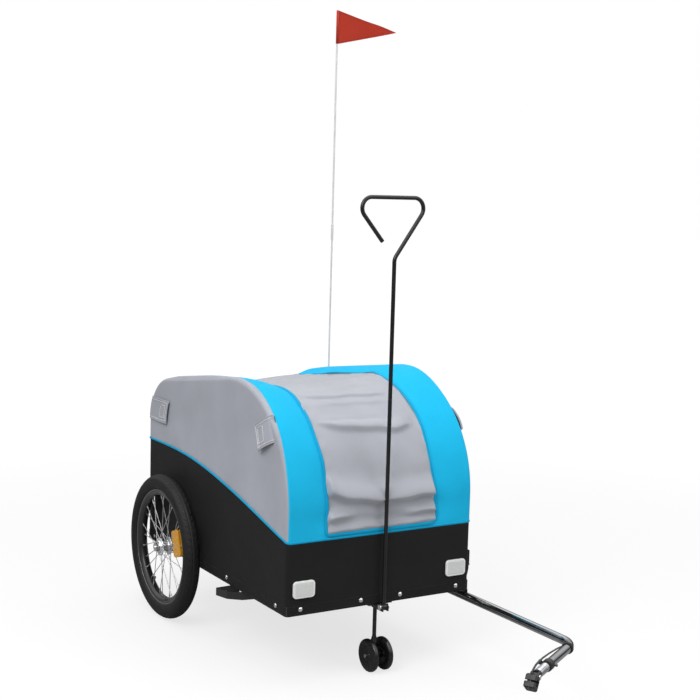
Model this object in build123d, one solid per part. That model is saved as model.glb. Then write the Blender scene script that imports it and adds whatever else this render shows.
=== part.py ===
"""Two-wheel bicycle trailer: a steel base with a hooped fabric cabin, tow arm, caster, pull handle and flag.

Millimetres, +Z up, the front faces -Y and the trailer's left is +X.
Shapes are built from the middle of the axle line on the ground, then moved so that the
origin is the centre of the whole footprint, on the ground.
"""

import os
from math import cos, degrees, radians, sin, sqrt, tan

from build123d import *

# ---- driving dimensions -------------------------------------------------------------------
ORIGIN = (74.5, -504.8, 0.0)  # footprint centre, measured from the axle centre on the ground

CABIN_HALF_W = 270.0  # outer face of the side fabric
CABIN_FRONT_Y = -637.0
CABIN_REAR_Y = 184.0
SKIRT_BOTTOM_Z = 177.4
SKIRT_FRONT_Z = 357.0  # top edge of the black skirt at the front
SKIRT_REAR_Z = 475.0  # and at the rear
FRONT_ARC_R = 290.0  # roof roll at the front of the side outline
FRONT_ARC_Z = 427.0
REAR_ARC_R = 130.0
ROOF_SLOPE = radians(8.0)  # the roof falls towards the rear
ROOF_SAG = 20.0  # the fabric between the hoops hangs this much lower
FABRIC = 1.6
BAND_W = 111.0  # blue roof bands
COVER_REAR_Y = 60.0  # the centre cover ends here, and the rear panel starts
GAP = 0.2  # between sewn panels that meet

RAIL = 25.0  # square frame tube
RAIL_WALL = 2.0
RAIL_Z = 190.0
HOOP_R = 8.0
HOOP_WALL = 1.5
SPREADER_DROP = 32.0  # spreader bars hang this far inside the hoops
SPREADER_RUN = 362.0  # from the crest bar to the rear bar, along the roof
BROW = radians(-62.0)  # place of the front bar on the front roll
FLOOR_T = 10.0

WHEEL_R = 200.0  # 16 inch tyre, 47-305
TYRE_R = 23.5
TYRE_WALL = 3.0
WHEEL_X = 302.0
RIM_HALF_W = 13.5
RIM_OUTER_R = 159.5
RIM_INNER_R = 143.0
SPOKES = 28
FLANGE_X = 13.0
FLANGE_R = 25.0
HUB_HALF = 20.0
BEARING_R = 14.0
BEARING_W = 8.0
AXLE_R = 6.0
REFLECTOR_R = 95.0  # the spoke reflector's distance from the axle
REFLECTOR_ANGLE = radians(18.0)  # above the forward horizontal
REFLECTOR_W = 44.0
REFLECTOR_L = 73.0
REFLECTOR_T = 14.0
RUNNING = 0.03  # radial clearance of a running fit

ARM_R = 11.0
ARM_WALL = 2.0
ARM_X = 257.0
ARM_Z = 163.0
ARM_PIVOT_Y = -430.0
ARM_CORNER_Y = -1049.0
ARM_BEND_R = 55.0
LEG_ANGLE = radians(30.0)  # the front leg points 30 degrees forward of sideways
LEG_TUBE_END = 172.0  # distances along the front leg, from the corner
COLLAR_END = 180.0
SPRING_END = 234.0
RIVET_AT = 246.0
CLAMP_BORE_R = 8.0
CLAMP_W = 26.0
JAW = 32.0  # across the bore
JAW_T = 27.0

CASTER_Y = -612.0
CASTER_TRAIL = 10.0
CASTER_R = 41.5
CASTER_W = 18.0
CASTER_X = 21.0
CASTER_STEM_R = 5.0

HANDLE_Y = -650.0
HANDLE_PIVOT_Z = 171.0
HANDLE_R = 5.0
HANDLE_JOINT_Z = 690.0
HANDLE_BEND_Z = 1032.0
HANDLE_TOP_Z = 1178.0

FLAG_X = 275.0
FLAG_Y = 90.0
FLAG_SLEEVE_Z = (425.0, 560.0)
POLE_R = 2.5
POLE_TOP_Z = 1722.0
FLAG_H = 95.0
FLAG_L = 207.0

BOLT_R = 2.5
BOLT_HEAD_R = 6.0
BOLT_Z = 192.0
FRONT_BOLTS_X = (-230.0, -58.0, 58.0, 230.0)
SIDE_BOLTS_Y = (-583.0, -321.0, -75.0, 140.0)

# ---- places worked out from them ------------------------------------------------------------
RAIL_X = CABIN_HALF_W - FABRIC - GAP - RAIL / 2
RAIL_FRONT_Y = CABIN_FRONT_Y + FABRIC + GAP + RAIL / 2
RAIL_REAR_Y = CABIN_REAR_Y - FABRIC - GAP - RAIL / 2
RAIL_TOP = RAIL_Z + RAIL / 2
RAIL_BOTTOM = RAIL_Z - RAIL / 2
HOOP_INSET = FABRIC + 4.0 + HOOP_R
HOOP_X = CABIN_HALF_W - HOOP_INSET
SADDLE_X = HOOP_X - HOOP_R
BAND_INNER_X = CABIN_HALF_W - BAND_W
AXLE_TUBE_R = 9.5
LEG = Plane(
    origin=(ARM_X, ARM_CORNER_Y, ARM_Z),
    x_dir=(0, 0, 1),
    z_dir=(-cos(LEG_ANGLE), -sin(LEG_ANGLE), 0),
)  # local z runs along the front leg, local x is up, local y points back and inwards

PARTS = {}


def part(name, *solids):
    """Keeps one named node, which may hold several separate solids."""
    PARTS[name] = solids[0] if len(solids) == 1 else Compound(children=list(solids))


def rod_x(r, x0, x1, y, z):
    """Round bar along X."""
    return Pos((x0 + x1) / 2, y, z) * Rot(0, 90, 0) * Cylinder(r, abs(x1 - x0))


def rod_y(r, y0, y1, x, z):
    """Round bar along Y."""
    return Pos(x, (y0 + y1) / 2, z) * Rot(90, 0, 0) * Cylinder(r, abs(y1 - y0))


def rod_z(r, z0, z1, x, y):
    """Round bar along Z."""
    return Pos(x, y, (z0 + z1) / 2) * Cylinder(r, abs(z1 - z0))


def block(x0, x1, y0, y1, z0, z1):
    """Box between two corners."""
    return Pos((x0 + x1) / 2, (y0 + y1) / 2, (z0 + z1) / 2) * Box(x1 - x0, y1 - y0, z1 - z0)


def tube_along(path, r, wall=0.0):
    """Round bar or tube swept along a wire."""
    start = Plane(origin=path @ 0, z_dir=path % 0)
    bar = sweep(start * Circle(r), path=path)
    return bar - sweep(start * Circle(r - wall), path=path) if wall else bar


# ---- cabin outline ----------------------------------------------------------------------------
def outline_edges(x, inset, front_z, rear_z, sag=0.0):
    """The side outline in the plane at x: front foot, front roll, sloping roof, rear roll, rear foot."""
    front_y = CABIN_FRONT_Y + inset
    rear_y = CABIN_REAR_Y - inset
    front_r = FRONT_ARC_R - inset
    rear_r = REAR_ARC_R - inset
    front_c = (CABIN_FRONT_Y + FRONT_ARC_R, FRONT_ARC_Z - sag)
    rear_cy = CABIN_REAR_Y - REAR_ARC_R
    run = rear_cy - front_c[0]
    rear_cz = front_c[1] + (FRONT_ARC_R - REAR_ARC_R) / cos(ROOF_SLOPE) - run * tan(ROOF_SLOPE)
    rear_c = (rear_cy, rear_cz)

    def on_arc(centre, r, angle):
        return (x, centre[0] + r * sin(angle), centre[1] + r * cos(angle))

    quarter = radians(90)
    front_mid = (ROOF_SLOPE - quarter) / 2
    rear_mid = (ROOF_SLOPE + quarter) / 2
    foot = (x, front_y, front_z)
    knee = (x, front_y, front_c[1])
    crest = on_arc(front_c, front_r, ROOF_SLOPE)
    fall = on_arc(rear_c, rear_r, ROOF_SLOPE)
    heel = (x, rear_y, rear_c[1])
    return [
        Line(foot, knee),
        ThreePointArc(knee, on_arc(front_c, front_r, front_mid), crest),
        Line(crest, fall),
        ThreePointArc(fall, on_arc(rear_c, rear_r, rear_mid), heel),
        Line(heel, (x, rear_y, rear_z)),
    ]


def s_curve(x):
    """The edge between the black skirt and the grey side panel."""
    front = (x, CABIN_FRONT_Y - 30, SKIRT_FRONT_Z - 6)
    rear = (x, CABIN_REAR_Y + 30, SKIRT_REAR_Z)
    middle = [(x, CABIN_FRONT_Y, SKIRT_FRONT_Z), (x, -350, 425), (x, -85, 468)]
    return Spline(front, *middle, (x, CABIN_REAR_Y - 20, SKIRT_REAR_Z), rear)


def below_s_curve(x0, x1, drop):
    """Solid below the S-curve, lowered by drop, for cutting the panels."""
    top = s_curve(x0)
    a, b = top @ 0, top @ 1
    base = [Line(b, (x0, b.Y, 0)), Line((x0, b.Y, 0), (x0, a.Y, 0)), Line((x0, a.Y, 0), a)]
    below = extrude(make_face([top] + base), amount=x1 - x0, dir=(1, 0, 0))
    return Pos(0, 0, -drop) * below


def strip_face(x, front_z, rear_z, sag):
    """Cross-section of the roof fabric in the plane at x."""
    outer = outline_edges(x, 0, front_z, rear_z, sag)
    inner = outline_edges(x, FABRIC, front_z, rear_z, sag)
    ends = [Line(outer[0] @ 0, inner[0] @ 0), Line(outer[-1] @ 1, inner[-1] @ 1)]
    return make_face(outer + inner + ends)


def roof_fabric(x0, x1, sag0, sag1):
    """Roof fabric from x0 to x1, front foot to rear foot, hanging lower by sag0 and sag1 at its edges."""
    feet = (SKIRT_FRONT_Z + 0.6, SKIRT_REAR_Z + GAP)
    return loft([strip_face(x0, *feet, sag0), strip_face(x1, *feet, sag1)], ruled=True)


def outline_plate(x0, x1):
    """A plate filling the whole side outline."""
    edges = outline_edges(x0, 0, SKIRT_BOTTOM_Z, SKIRT_BOTTOM_Z)
    edges.append(Line(edges[-1] @ 1, edges[0] @ 0))
    return extrude(make_face(edges), amount=x1 - x0, dir=(1, 0, 0))


def skirt_bolt_spots():
    """(point on the skirt's outer face, outward direction) of each skirt bolt."""
    spots = [((x, CABIN_FRONT_Y, BOLT_Z), (0, -1, 0)) for x in FRONT_BOLTS_X]
    spots += [((x, CABIN_REAR_Y, BOLT_Z), (0, 1, 0)) for x in FRONT_BOLTS_X]
    for side in (-1, 1):
        spots += [((side * CABIN_HALF_W, y, BOLT_Z), (side, 0, 0)) for y in SIDE_BOLTS_Y]
    return spots


def skirt_bolt(point, out, r=BOLT_R, head=True):
    """Dome-head bolt with its shank running inwards through fabric and tube wall."""
    place = Plane(origin=point, z_dir=out).location
    shank = place * Pos(0, 0, -5) * Cylinder(r, 10)
    if not head:
        return shank
    dome_r = 7.6
    rise = sqrt(dome_r**2 - BOLT_HEAD_R**2)
    dome = Pos(0, 0, -rise) * Sphere(dome_r) & Pos(0, 0, 5) * Box(20, 20, 10)
    return shank + place * dome


BOLT_HOLES = [skirt_bolt(p, d, BOLT_R + 0.05, head=False) for p, d in skirt_bolt_spots()]


def cabin_fabric():
    """Skirt, side panels, roof bands, centre cover, rear panel and tabs."""
    length = CABIN_REAR_Y - CABIN_FRONT_Y
    mid_y = (CABIN_REAR_Y + CABIN_FRONT_Y) / 2
    height = SKIRT_REAR_Z + 20 - SKIRT_BOTTOM_Z
    ring = Pos(0, mid_y, SKIRT_BOTTOM_Z + height / 2) * (
        Box(2 * CABIN_HALF_W, length, height)
        - Box(2 * (CABIN_HALF_W - FABRIC), length - 2 * FABRIC, height)
    )
    skirt = ring & below_s_curve(-CABIN_HALF_W - 5, CABIN_HALF_W + 5, GAP)
    for hole in BOLT_HOLES:
        skirt -= hole
    for side in (-1, 1):
        skirt -= rod_x(AXLE_TUBE_R + 0.3, side * 255, side * 285, 0, WHEEL_R)
    part("cover_skirt", skirt)

    cutter = below_s_curve(-CABIN_HALF_W - 5, CABIN_HALF_W + 5, 0)
    bands = []
    for side, name in ((-1, "right"), (1, "left")):
        outer, inner = side * CABIN_HALF_W, side * (CABIN_HALF_W - FABRIC)
        panel = outline_plate(min(outer, inner), max(outer, inner)) - cutter
        part(f"side_panel_{name}", panel)
        bands.append(roof_fabric(side * BAND_INNER_X, inner - side * GAP, ROOF_SAG, 0))
    part("roof_bands", *bands)

    edge = BAND_INNER_X - GAP
    strip = roof_fabric(-edge, edge, ROOF_SAG, ROOF_SAG)
    front_half = block(-edge, edge, -700, COVER_REAR_Y - GAP, 0, 800)
    rear_half = block(-edge, edge, COVER_REAR_Y, 300, 0, 800)
    part("centre_cover", strip & front_half)
    part("rear_panel", strip & rear_half)

    tabs = []
    for side in (-1, 1):
        face = side * (CABIN_HALF_W + GAP)
        out = side * (CABIN_HALF_W + GAP + 2.0)
        lo, hi = min(face, out), max(face, out)
        tab_y = FLAG_Y + 12 if side > 0 else 62
        tabs.append(block(lo, hi, tab_y, 160, 535, 603))
        front_tab = block(lo, hi, -45, 45, -31, 31)
        tabs.append(Pos(0, -513, 607) * Rot(-28, 0, 0) * front_tab)
    part("side_tabs", *tabs)

    pocket_x = CABIN_HALF_W + GAP
    pocket = block(pocket_x, pocket_x + 17, -618, -500, 178, 277)
    pocket -= rod_x(BOLT_HEAD_R + 0.5, pocket_x - 1, pocket_x + 4.2, SIDE_BOLTS_Y[0], BOLT_Z)
    part("parts_pocket", pocket)


def reflectors():
    """Rounded plates on the front and rear of the skirt."""
    plate = extrude(RectangleRounded(60, 42, 9), 5.5)
    plate = chamfer(plate.edges().group_by(Axis.Z)[-1], 1.2)
    for name, y, out in (("front", CABIN_FRONT_Y, -1), ("rear", CABIN_REAR_Y, 1)):
        made = []
        for x in (-224, 224):
            place = Plane(origin=(x, y + out * 0.1, 242), x_dir=(1, 0, 0), z_dir=(0, out, 0))
            made.append(place.location * plate)
        part(f"{name}_reflectors", *made)


# ---- frame ----------------------------------------------------------------------------------------
def base_frame():
    """Welded rectangle of square tube with an axle tube, a middle cross tube and hoop spigots."""
    bore = RAIL - 2 * RAIL_WALL
    y0, y1 = RAIL_FRONT_Y - RAIL / 2, RAIL_REAR_Y + RAIL / 2
    frame, hollow = None, None
    for side in (-1, 1):
        x = side * RAIL_X
        rail = block(x - RAIL / 2, x + RAIL / 2, y0, y1, RAIL_BOTTOM, RAIL_TOP)
        inner = block(x - bore / 2, x + bore / 2, y0 - 1, y1 + 1, RAIL_Z - bore / 2, RAIL_Z + bore / 2)
        frame = rail if frame is None else frame + rail
        hollow = inner if hollow is None else hollow + inner
    half = RAIL_X - bore / 2
    for y in (RAIL_FRONT_Y, -300, RAIL_REAR_Y):
        frame += block(-half, half, y - RAIL / 2, y + RAIL / 2, RAIL_BOTTOM, RAIL_TOP)
        hollow += block(-half, half, y - bore / 2, y + bore / 2, RAIL_Z - bore / 2, RAIL_Z + bore / 2)
    frame -= hollow
    reach = WHEEL_X - HUB_HALF - 0.5
    frame += rod_x(AXLE_TUBE_R, -reach, reach, 0, WHEEL_R)
    frame -= rod_x(AXLE_R + 0.08, -reach - 1, reach + 1, 0, WHEEL_R)
    for side in (-1, 1):
        for y in (CABIN_FRONT_Y + HOOP_INSET, CABIN_REAR_Y - HOOP_INSET):
            frame += rod_z(HOOP_R - HOOP_WALL - 0.05, RAIL_TOP - 1, RAIL_TOP + 40, side * HOOP_X, y)
            frame -= rod_x(2.55, side * (HOOP_X - 10), side * HOOP_X, y, RAIL_TOP + 22)
    for hole in BOLT_HOLES:
        frame -= hole
    frame -= rod_z(4.05, RAIL_BOTTOM - 1, RAIL_TOP + 1, ARM_X, ARM_PIVOT_Y)
    for y in (RAIL_FRONT_Y,):
        for x in (-24, 24):
            frame -= rod_z(3.05, RAIL_BOTTOM - 1, RAIL_TOP + 1, x, y)
    part("base_frame", frame)


def floor_board():
    """Board on the rails, routed underneath for the axle tube."""
    half_w = HOOP_X - HOOP_R - 1.5
    y0 = CABIN_FRONT_Y + 2 * HOOP_INSET
    y1 = CABIN_REAR_Y - 2 * HOOP_INSET
    board = block(-half_w, half_w, y0, y1, RAIL_TOP + GAP, RAIL_TOP + FLOOR_T)
    board -= block(-half_w - 1, half_w + 1, -12, 12, RAIL_TOP, WHEEL_R + AXLE_TUBE_R + 0.3)
    part("floor_board", board)


def hoops():
    """Two bent side hoops on the spigots, held by snap buttons."""
    bent, buttons = [], []
    for side in (-1, 1):
        path = Wire(outline_edges(side * HOOP_X, HOOP_INSET, RAIL_TOP + GAP, RAIL_TOP + GAP))
        hoop = tube_along(path, HOOP_R, HOOP_WALL)
        for y in (CABIN_FRONT_Y + HOOP_INSET, CABIN_REAR_Y - HOOP_INSET):
            z = RAIL_TOP + 22
            hoop -= rod_x(2.55, side * (HOOP_X - 10), side * HOOP_X, y, z)
            buttons.append(rod_x(2.5, side * (HOOP_X - HOOP_R - 1.5), side * (HOOP_X - 0.5), y, z))
        bent.append(hoop)
    part("side_hoops", *bent)
    part("hoop_snap_buttons", *buttons)


def spreaders():
    """Cross bars hung below the hoops on half-round saddles, clear of the sagging roof, and their screws."""
    bars, screws = [], []
    front_c = (CABIN_FRONT_Y + FRONT_ARC_R, FRONT_ARC_Z)
    r = FRONT_ARC_R - HOOP_INSET
    crest = (front_c[0] + r * sin(ROOF_SLOPE), front_c[1] + r * cos(ROOF_SLOPE))
    rear = (crest[0] + SPREADER_RUN * cos(ROOF_SLOPE), crest[1] - SPREADER_RUN * sin(ROOF_SLOPE))
    brow = (front_c[0] + r * sin(BROW), front_c[1] + r * cos(BROW))
    for (y, z), angle in ((crest, ROOF_SLOPE), (rear, ROOF_SLOPE), (brow, BROW)):
        turn = Pos(0, y, z) * Rot(-degrees(angle), 0, 0)
        bar = turn * rod_x(6, -SADDLE_X, SADDLE_X, 0, -SPREADER_DROP)
        for side in (-1, 1):
            saddle = block(SADDLE_X - 4, HOOP_X, -11, 11, -HOOP_R - 0.4, 3)
            saddle += block(SADDLE_X - 4, SADDLE_X - 1, -11, 11, -SPREADER_DROP - 8, 3)
            saddle -= rod_y(HOOP_R + 0.3, -12, 12, HOOP_X, 0)
            screw = rod_x(2, SADDLE_X - 7.5, SADDLE_X - 4.05, 6.5, -HOOP_R - 7)
            screw += rod_x(3.5, SADDLE_X - 7.5, SADDLE_X - 5.5, 6.5, -HOOP_R - 7)
            if side < 0:
                saddle, screw = mirror(saddle, Plane.YZ), mirror(screw, Plane.YZ)
            bar += turn * saddle
            screws.append(turn * screw)
        bars.append(bar)
    part("spreader_bars", *bars)
    return screws


# ---- wheels ------------------------------------------------------------------------------------------
def ring(points, x, close=True):
    """Solid of revolution about the axle from (offset along X, radius) points, centred at x."""
    profile = make_face(Polyline(*[(p[0], p[1]) for p in points], close=close))
    turned = revolve(profile, Axis.X)
    return Pos(x, 0, WHEEL_R) * turned


def spoke_line(i, side_out):
    """End points of spoke i in wheel coordinates: hub flange to rim, laced across its neighbours."""
    step = 2 * 3.141592653589793 / SPOKES
    lean = 3 * step * (1 if (i // 2) % 2 else -1)
    hub_angle, rim_angle = i * step + lean, i * step
    hub_x = (FLANGE_X if i % 2 else -FLANGE_X) * side_out
    rim_x = (3 if i % 2 else -3) * side_out
    hub_r, rim_r = FLANGE_R - 3.5, RIM_INNER_R + 4
    start = Vector(hub_x, hub_r * cos(hub_angle), hub_r * sin(hub_angle))
    end = Vector(rim_x, rim_r * cos(rim_angle), rim_r * sin(rim_angle))
    return start, end


def wheel(side, name):
    """One spoked wheel with its quick-release axle; side is -1 for the trailer's right."""
    x = side * WHEEL_X
    r0 = WHEEL_R - TYRE_R
    tyre = Pos(x, 0, WHEEL_R) * Rot(0, 90, 0) * (Torus(r0, TYRE_R) - Torus(r0, TYRE_R - TYRE_WALL))
    seat = RIM_HALF_W + 0.1
    tyre -= ring([(-seat, 100), (seat, 100), (seat, RIM_OUTER_R + 2.5), (-seat, RIM_OUTER_R + 2.5)], x)
    part(f"{name}_tyre", tyre)

    w, o = RIM_HALF_W, RIM_OUTER_R
    bed = o - 5.5
    rim = ring(
        [(-w, o), (-w + 2.5, o), (-w + 2.5, bed), (w - 2.5, bed), (w - 2.5, o), (w, o),
         (w, o - 9.5), (6, RIM_INNER_R), (-6, RIM_INNER_R), (-w, o - 9.5)],
        x,
    )
    valve_angle = radians(300)
    outward = (0, cos(valve_angle), sin(valve_angle))
    valve_at = Plane(origin=(x, 0, WHEEL_R), z_dir=outward).location
    rim -= valve_at * Pos(0, 0, 150) * Cylinder(3.2, 30)
    part(f"{name}_rim", rim)

    tube_r = TYRE_R - TYRE_WALL - 0.4
    inner_tube = Pos(x, 0, WHEEL_R) * Rot(0, 90, 0) * (Torus(r0, tube_r) - Torus(r0, tube_r - 1.2))
    inner_tube += valve_at * Pos(0, 0, 139) * Cylinder(3.0, 38)
    part(f"{name}_inner_tube", inner_tube)

    spokes = []
    for i in range(SPOKES):
        start, end = spoke_line(i, side)
        direction = (end - start).normalized()
        length = (end - start).length
        at = Pos(x, 0, WHEEL_R) * Plane(origin=start, z_dir=direction).location
        wire = Pos(0, 0, length / 2) * Cylinder(1.0, length)
        nipple = Pos(0, 0, length - 7) * Cylinder(2.0, 14)
        spokes.append(at * (wire + nipple))
    part(f"{name}_spokes", *spokes)

    f, seat_r = FLANGE_X, BEARING_R + 0.02
    shell = [(-HUB_HALF, seat_r), (-HUB_HALF, 17.5), (-f - 1.5, 17.5), (-f - 1.5, FLANGE_R),
             (-f + 1.5, FLANGE_R), (-f + 1.5, 15), (f - 1.5, 15), (f - 1.5, FLANGE_R),
             (f + 1.5, FLANGE_R), (f + 1.5, 17.5), (HUB_HALF, 17.5), (HUB_HALF, seat_r),
             (HUB_HALF - BEARING_W, seat_r), (HUB_HALF - BEARING_W, 9),
             (-HUB_HALF + BEARING_W, 9), (-HUB_HALF + BEARING_W, seat_r)]
    part(f"{name}_hub", ring(shell, x))
    bearings = []
    for end in (-1, 1):
        outer = end * (HUB_HALF - 0.1)
        inner = end * (HUB_HALF - BEARING_W + 0.1)
        lo, hi = min(outer, inner), max(outer, inner)
        bore = AXLE_R + RUNNING
        bearings.append(ring([(lo, bore), (hi, bore), (hi, BEARING_R), (lo, BEARING_R)], x))
    part(f"{name}_bearings", *bearings)

    head_x = WHEEL_X + HUB_HALF + 0.5
    pin = rod_x(AXLE_R, side * 215, side * (head_x + 1), 0, WHEEL_R)
    pin += rod_x(12, side * head_x, side * (head_x + 7.5), 0, WHEEL_R)
    pin -= rod_x(4.05, side * (head_x - 3.6), side * (head_x + 8), 0, WHEEL_R)
    part(f"{name}_axle", pin)
    button = rod_x(4.0, side * (head_x + 0.4), side * (head_x + 10.5), 0, WHEEL_R)
    part(f"{name}_release_button", button)

    turn = REFLECTOR_ANGLE
    centre = (x - REFLECTOR_T / 2, -REFLECTOR_R * cos(turn), WHEEL_R + REFLECTOR_R * sin(turn))
    reflector = extrude(RectangleRounded(REFLECTOR_W, REFLECTOR_L, 9), REFLECTOR_T)
    place = Plane(origin=centre, x_dir=(0, -cos(turn), sin(turn)), z_dir=(1, 0, 0))
    part(f"{name}_spoke_reflector", place.location * reflector)


# ---- tow arm and hitch ------------------------------------------------------------------------------
def leg_point(along, up=0.0, back=0.0):
    """A point by its distance along the front leg, above it and behind it."""
    return LEG.from_local_coords((up, back, along))


def across_leg(r, along, up, back0, back1):
    """Round bar across the front leg, lying level."""
    bar = Pos(up, (back0 + back1) / 2, along) * Rot(90, 0, 0) * Cylinder(r, abs(back1 - back0))
    return LEG.location * bar


def tow_arm():
    """Bent tube with a rounded pivot end and a cross hole for the retaining pin."""
    corner = (ARM_X, ARM_CORNER_Y, ARM_Z)
    end = leg_point(LEG_TUBE_END)
    path = FilletPolyline((ARM_X, ARM_PIVOT_Y + 15, ARM_Z), corner, tuple(end), radius=ARM_BEND_R)
    arm = tube_along(path, ARM_R, ARM_WALL)
    arm += rod_z(7.5, ARM_Z - ARM_R + 0.2, ARM_Z + ARM_R - 0.2, ARM_X, ARM_PIVOT_Y)
    arm -= rod_z(4.05, ARM_Z - 20, ARM_Z + 20, ARM_X, ARM_PIVOT_Y)
    arm -= across_leg(3.05, 158, 0, -20, 20)
    part("tow_arm", arm)

    under, over = ARM_Z - ARM_R - 0.6, ARM_Z + ARM_R + 0.6
    wall = ARM_X + ARM_R + 0.8
    y0, y1 = ARM_PIVOT_Y - 25, ARM_PIVOT_Y + 17
    bracket = block(ARM_X - 17, wall + 1.5, y0, y1, over, RAIL_BOTTOM - GAP)
    bracket += block(ARM_X - 17, wall + 1.5, y0, y1, under - 4, under)
    bracket += block(wall, wall + 1.5, y0, ARM_PIVOT_Y - 5, under - 4, RAIL_BOTTOM - GAP)
    bracket -= rod_z(4.05, under - 10, RAIL_BOTTOM + 1, ARM_X, ARM_PIVOT_Y)
    bolt = rod_z(4, under - 14, RAIL_Z, ARM_X, ARM_PIVOT_Y)
    bolt += rod_z(7, under - 14, under - 9.2, ARM_X, ARM_PIVOT_Y)
    nut = rod_z(6.5, under - 9, under - 4.1, ARM_X, ARM_PIVOT_Y)
    nut -= rod_z(4.02, under - 12, under, ARM_X, ARM_PIVOT_Y)
    part("tow_arm_pivot_bolt", bolt, nut)

    y0, y1 = RAIL_FRONT_Y - RAIL / 2 + 1, RAIL_FRONT_Y + 30
    saddle = block(ARM_X - 13, wall + 1.5, y0, y1, over, RAIL_BOTTOM - GAP)
    saddle += block(wall, wall + 1.5, y0, y1, ARM_Z - 5, RAIL_BOTTOM - GAP)
    part("tow_arm_brackets", bracket, saddle)

    collar = Cylinder(ARM_R + 2.2, 14) - Cylinder(ARM_R + 0.05, 14)
    cap = Pos(0, 0, 9) * (Cylinder(ARM_R + 2.2, 4) - Cylinder(6.1, 4))
    collar = LEG.location * Pos(0, 0, LEG_TUBE_END - 7) * (collar + cap)
    collar -= across_leg(3.05, 158, 0, -20, 20)
    part("arm_end_collar", collar)


def hitch():
    """Coupling spring on its plug, retaining pin, clevis, rivet and clamp."""
    plug = Pos(0, 0, 146) * Cylinder(ARM_R - ARM_WALL - 0.1, 26, align=(Align.CENTER, Align.CENTER, Align.MIN))
    plug += Pos(0, 0, 171) * Cylinder(6, 15, align=(Align.CENTER, Align.CENTER, Align.MIN))
    plug = LEG.location * plug - across_leg(3.05, 158, 0, -20, 20)
    part("coupling_plug", plug)

    start, end = COLLAR_END + 1.0, SPRING_END - 1.0
    wire_r, coil_r, turns = 1.9, 8.6, 7
    height = end - start - 2 * wire_r
    helix = Helix(pitch=height / turns, height=height, radius=coil_r)
    section = Plane(origin=helix @ 0, z_dir=helix % 0) * Circle(wire_r)
    spring = sweep(section, path=helix, is_frenet=True)
    part("coupling_spring", LEG.location * Pos(0, 0, start + wire_r) * spring)

    pin = across_leg(3, 158, 0, -19, 24)
    pin += across_leg(5.5, 158, 0, 18, 24)
    part("hitch_retaining_pin", pin)

    fork = Pos(0, 0, SPRING_END) * Cylinder(10, 4, align=(Align.CENTER, Align.CENTER, Align.MIN))
    fork += Pos(0, 0, SPRING_END - 14) * Cylinder(5.6, 14, align=(Align.CENTER, Align.CENTER, Align.MIN))
    for y in (-1, 1):
        ear = Pos(0, y * 8, SPRING_END + 8.5) * Box(17.9, 3.6, 11)
        tip = Pos(0, y * 8, RIVET_AT + 2) * Rot(90, 0, 0) * Cylinder(9, 3.6)
        fork += ear + tip
    fork = LEG.location * fork - across_leg(3.05, RIVET_AT + 2, 0, -20, 20)
    part("hitch_clevis", fork)
    rivet = across_leg(3, RIVET_AT + 2, 0, -11.5, 11.5)
    rivet += across_leg(5, RIVET_AT + 2, 0, -12.5, -10) + across_leg(5, RIVET_AT + 2, 0, 10, 12.5)
    part("hitch_rivet", rivet)

    bore_up, bore_at = -8.0, RIVET_AT + 22
    eye = Pos(0, 0, RIVET_AT + 2) * Rot(90, 0, 0) * Cylinder(8, 11.6)
    neck = Pos(-2, 0, RIVET_AT + 8) * Box(14, 11.6, 14)
    jaw = Pos(bore_up, 0, bore_at) * Rot(0, 38, 0) * Box(JAW, CLAMP_W, JAW_T)
    jaw = chamfer(jaw.edges(), 3)
    clamp = eye + neck + jaw
    clear = Pos(0, 0, RIVET_AT + 2) * Rot(90, 0, 0) * (Cylinder(10.5, 19.8 + 10) - Cylinder(10.5, 11.8))
    clamp -= clear
    clamp -= Pos(0, 0, RIVET_AT + 2) * Rot(90, 0, 0) * Cylinder(3.05, 40)
    clamp -= Pos(bore_up, 0, bore_at) * Rot(90, 0, 0) * Cylinder(CLAMP_BORE_R, CLAMP_W + 4)
    clamp -= Pos(bore_up, 0, bore_at) * Rot(0, 38, 0) * Pos(0, 0, 12) * Box(4, CLAMP_W + 4, 16)
    screw_at = Pos(bore_up, 0, bore_at) * Rot(0, 38, 0) * Pos(0, 0, 10.6)
    clamp -= screw_at * Rot(0, 90, 0) * Cylinder(2.05, 60)
    part("hitch_clamp", LEG.location * clamp)
    side = JAW / 2 + 0.1
    screw = Rot(0, 90, 0) * Cylinder(2, 2 * side + 6) + Pos(-side - 2, 0, 0) * Rot(0, 90, 0) * Cylinder(2.9, 4)
    nut = Pos(side + 2, 0, 0) * Rot(0, 90, 0) * Cylinder(2.9, 4)
    part("clamp_screw", LEG.location * screw_at * (screw + nut))

    strap = Pos(0, ARM_R + 1.4, 0) * Box(12, 2, 100)
    strap = LEG.location * Pos(0, 0, 92) * strap
    loop = Cylinder(ARM_R + 2.6, 14) - Cylinder(ARM_R + 0.3, 14)
    part("safety_strap", LEG.location * Pos(0, 0, 45) * loop + strap)


def stow_hook():
    """Flat bar bent into a hook under the right rail, for the folded tow arm."""
    x = -CABIN_HALF_W
    outer = [(x + 34, -328.5), (x - 35, -332.5), (x - 24, -373), (x + 7, -399.6), (x + 40, -405.6)]
    inner = [(x + 40, -402.6), (x + 9, -396.6), (x - 20, -371), (x - 31, -335.3), (x + 34, -331.5)]
    bar = extrude(make_face(Polyline(*outer, *inner, close=True)), 20)
    foot = block(x + 24, x + 40, -407, -328, RAIL_BOTTOM - 5, RAIL_BOTTOM - GAP)
    part("stow_hook", Pos(0, 0, RAIL_BOTTOM - 25) * bar + foot)


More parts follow.
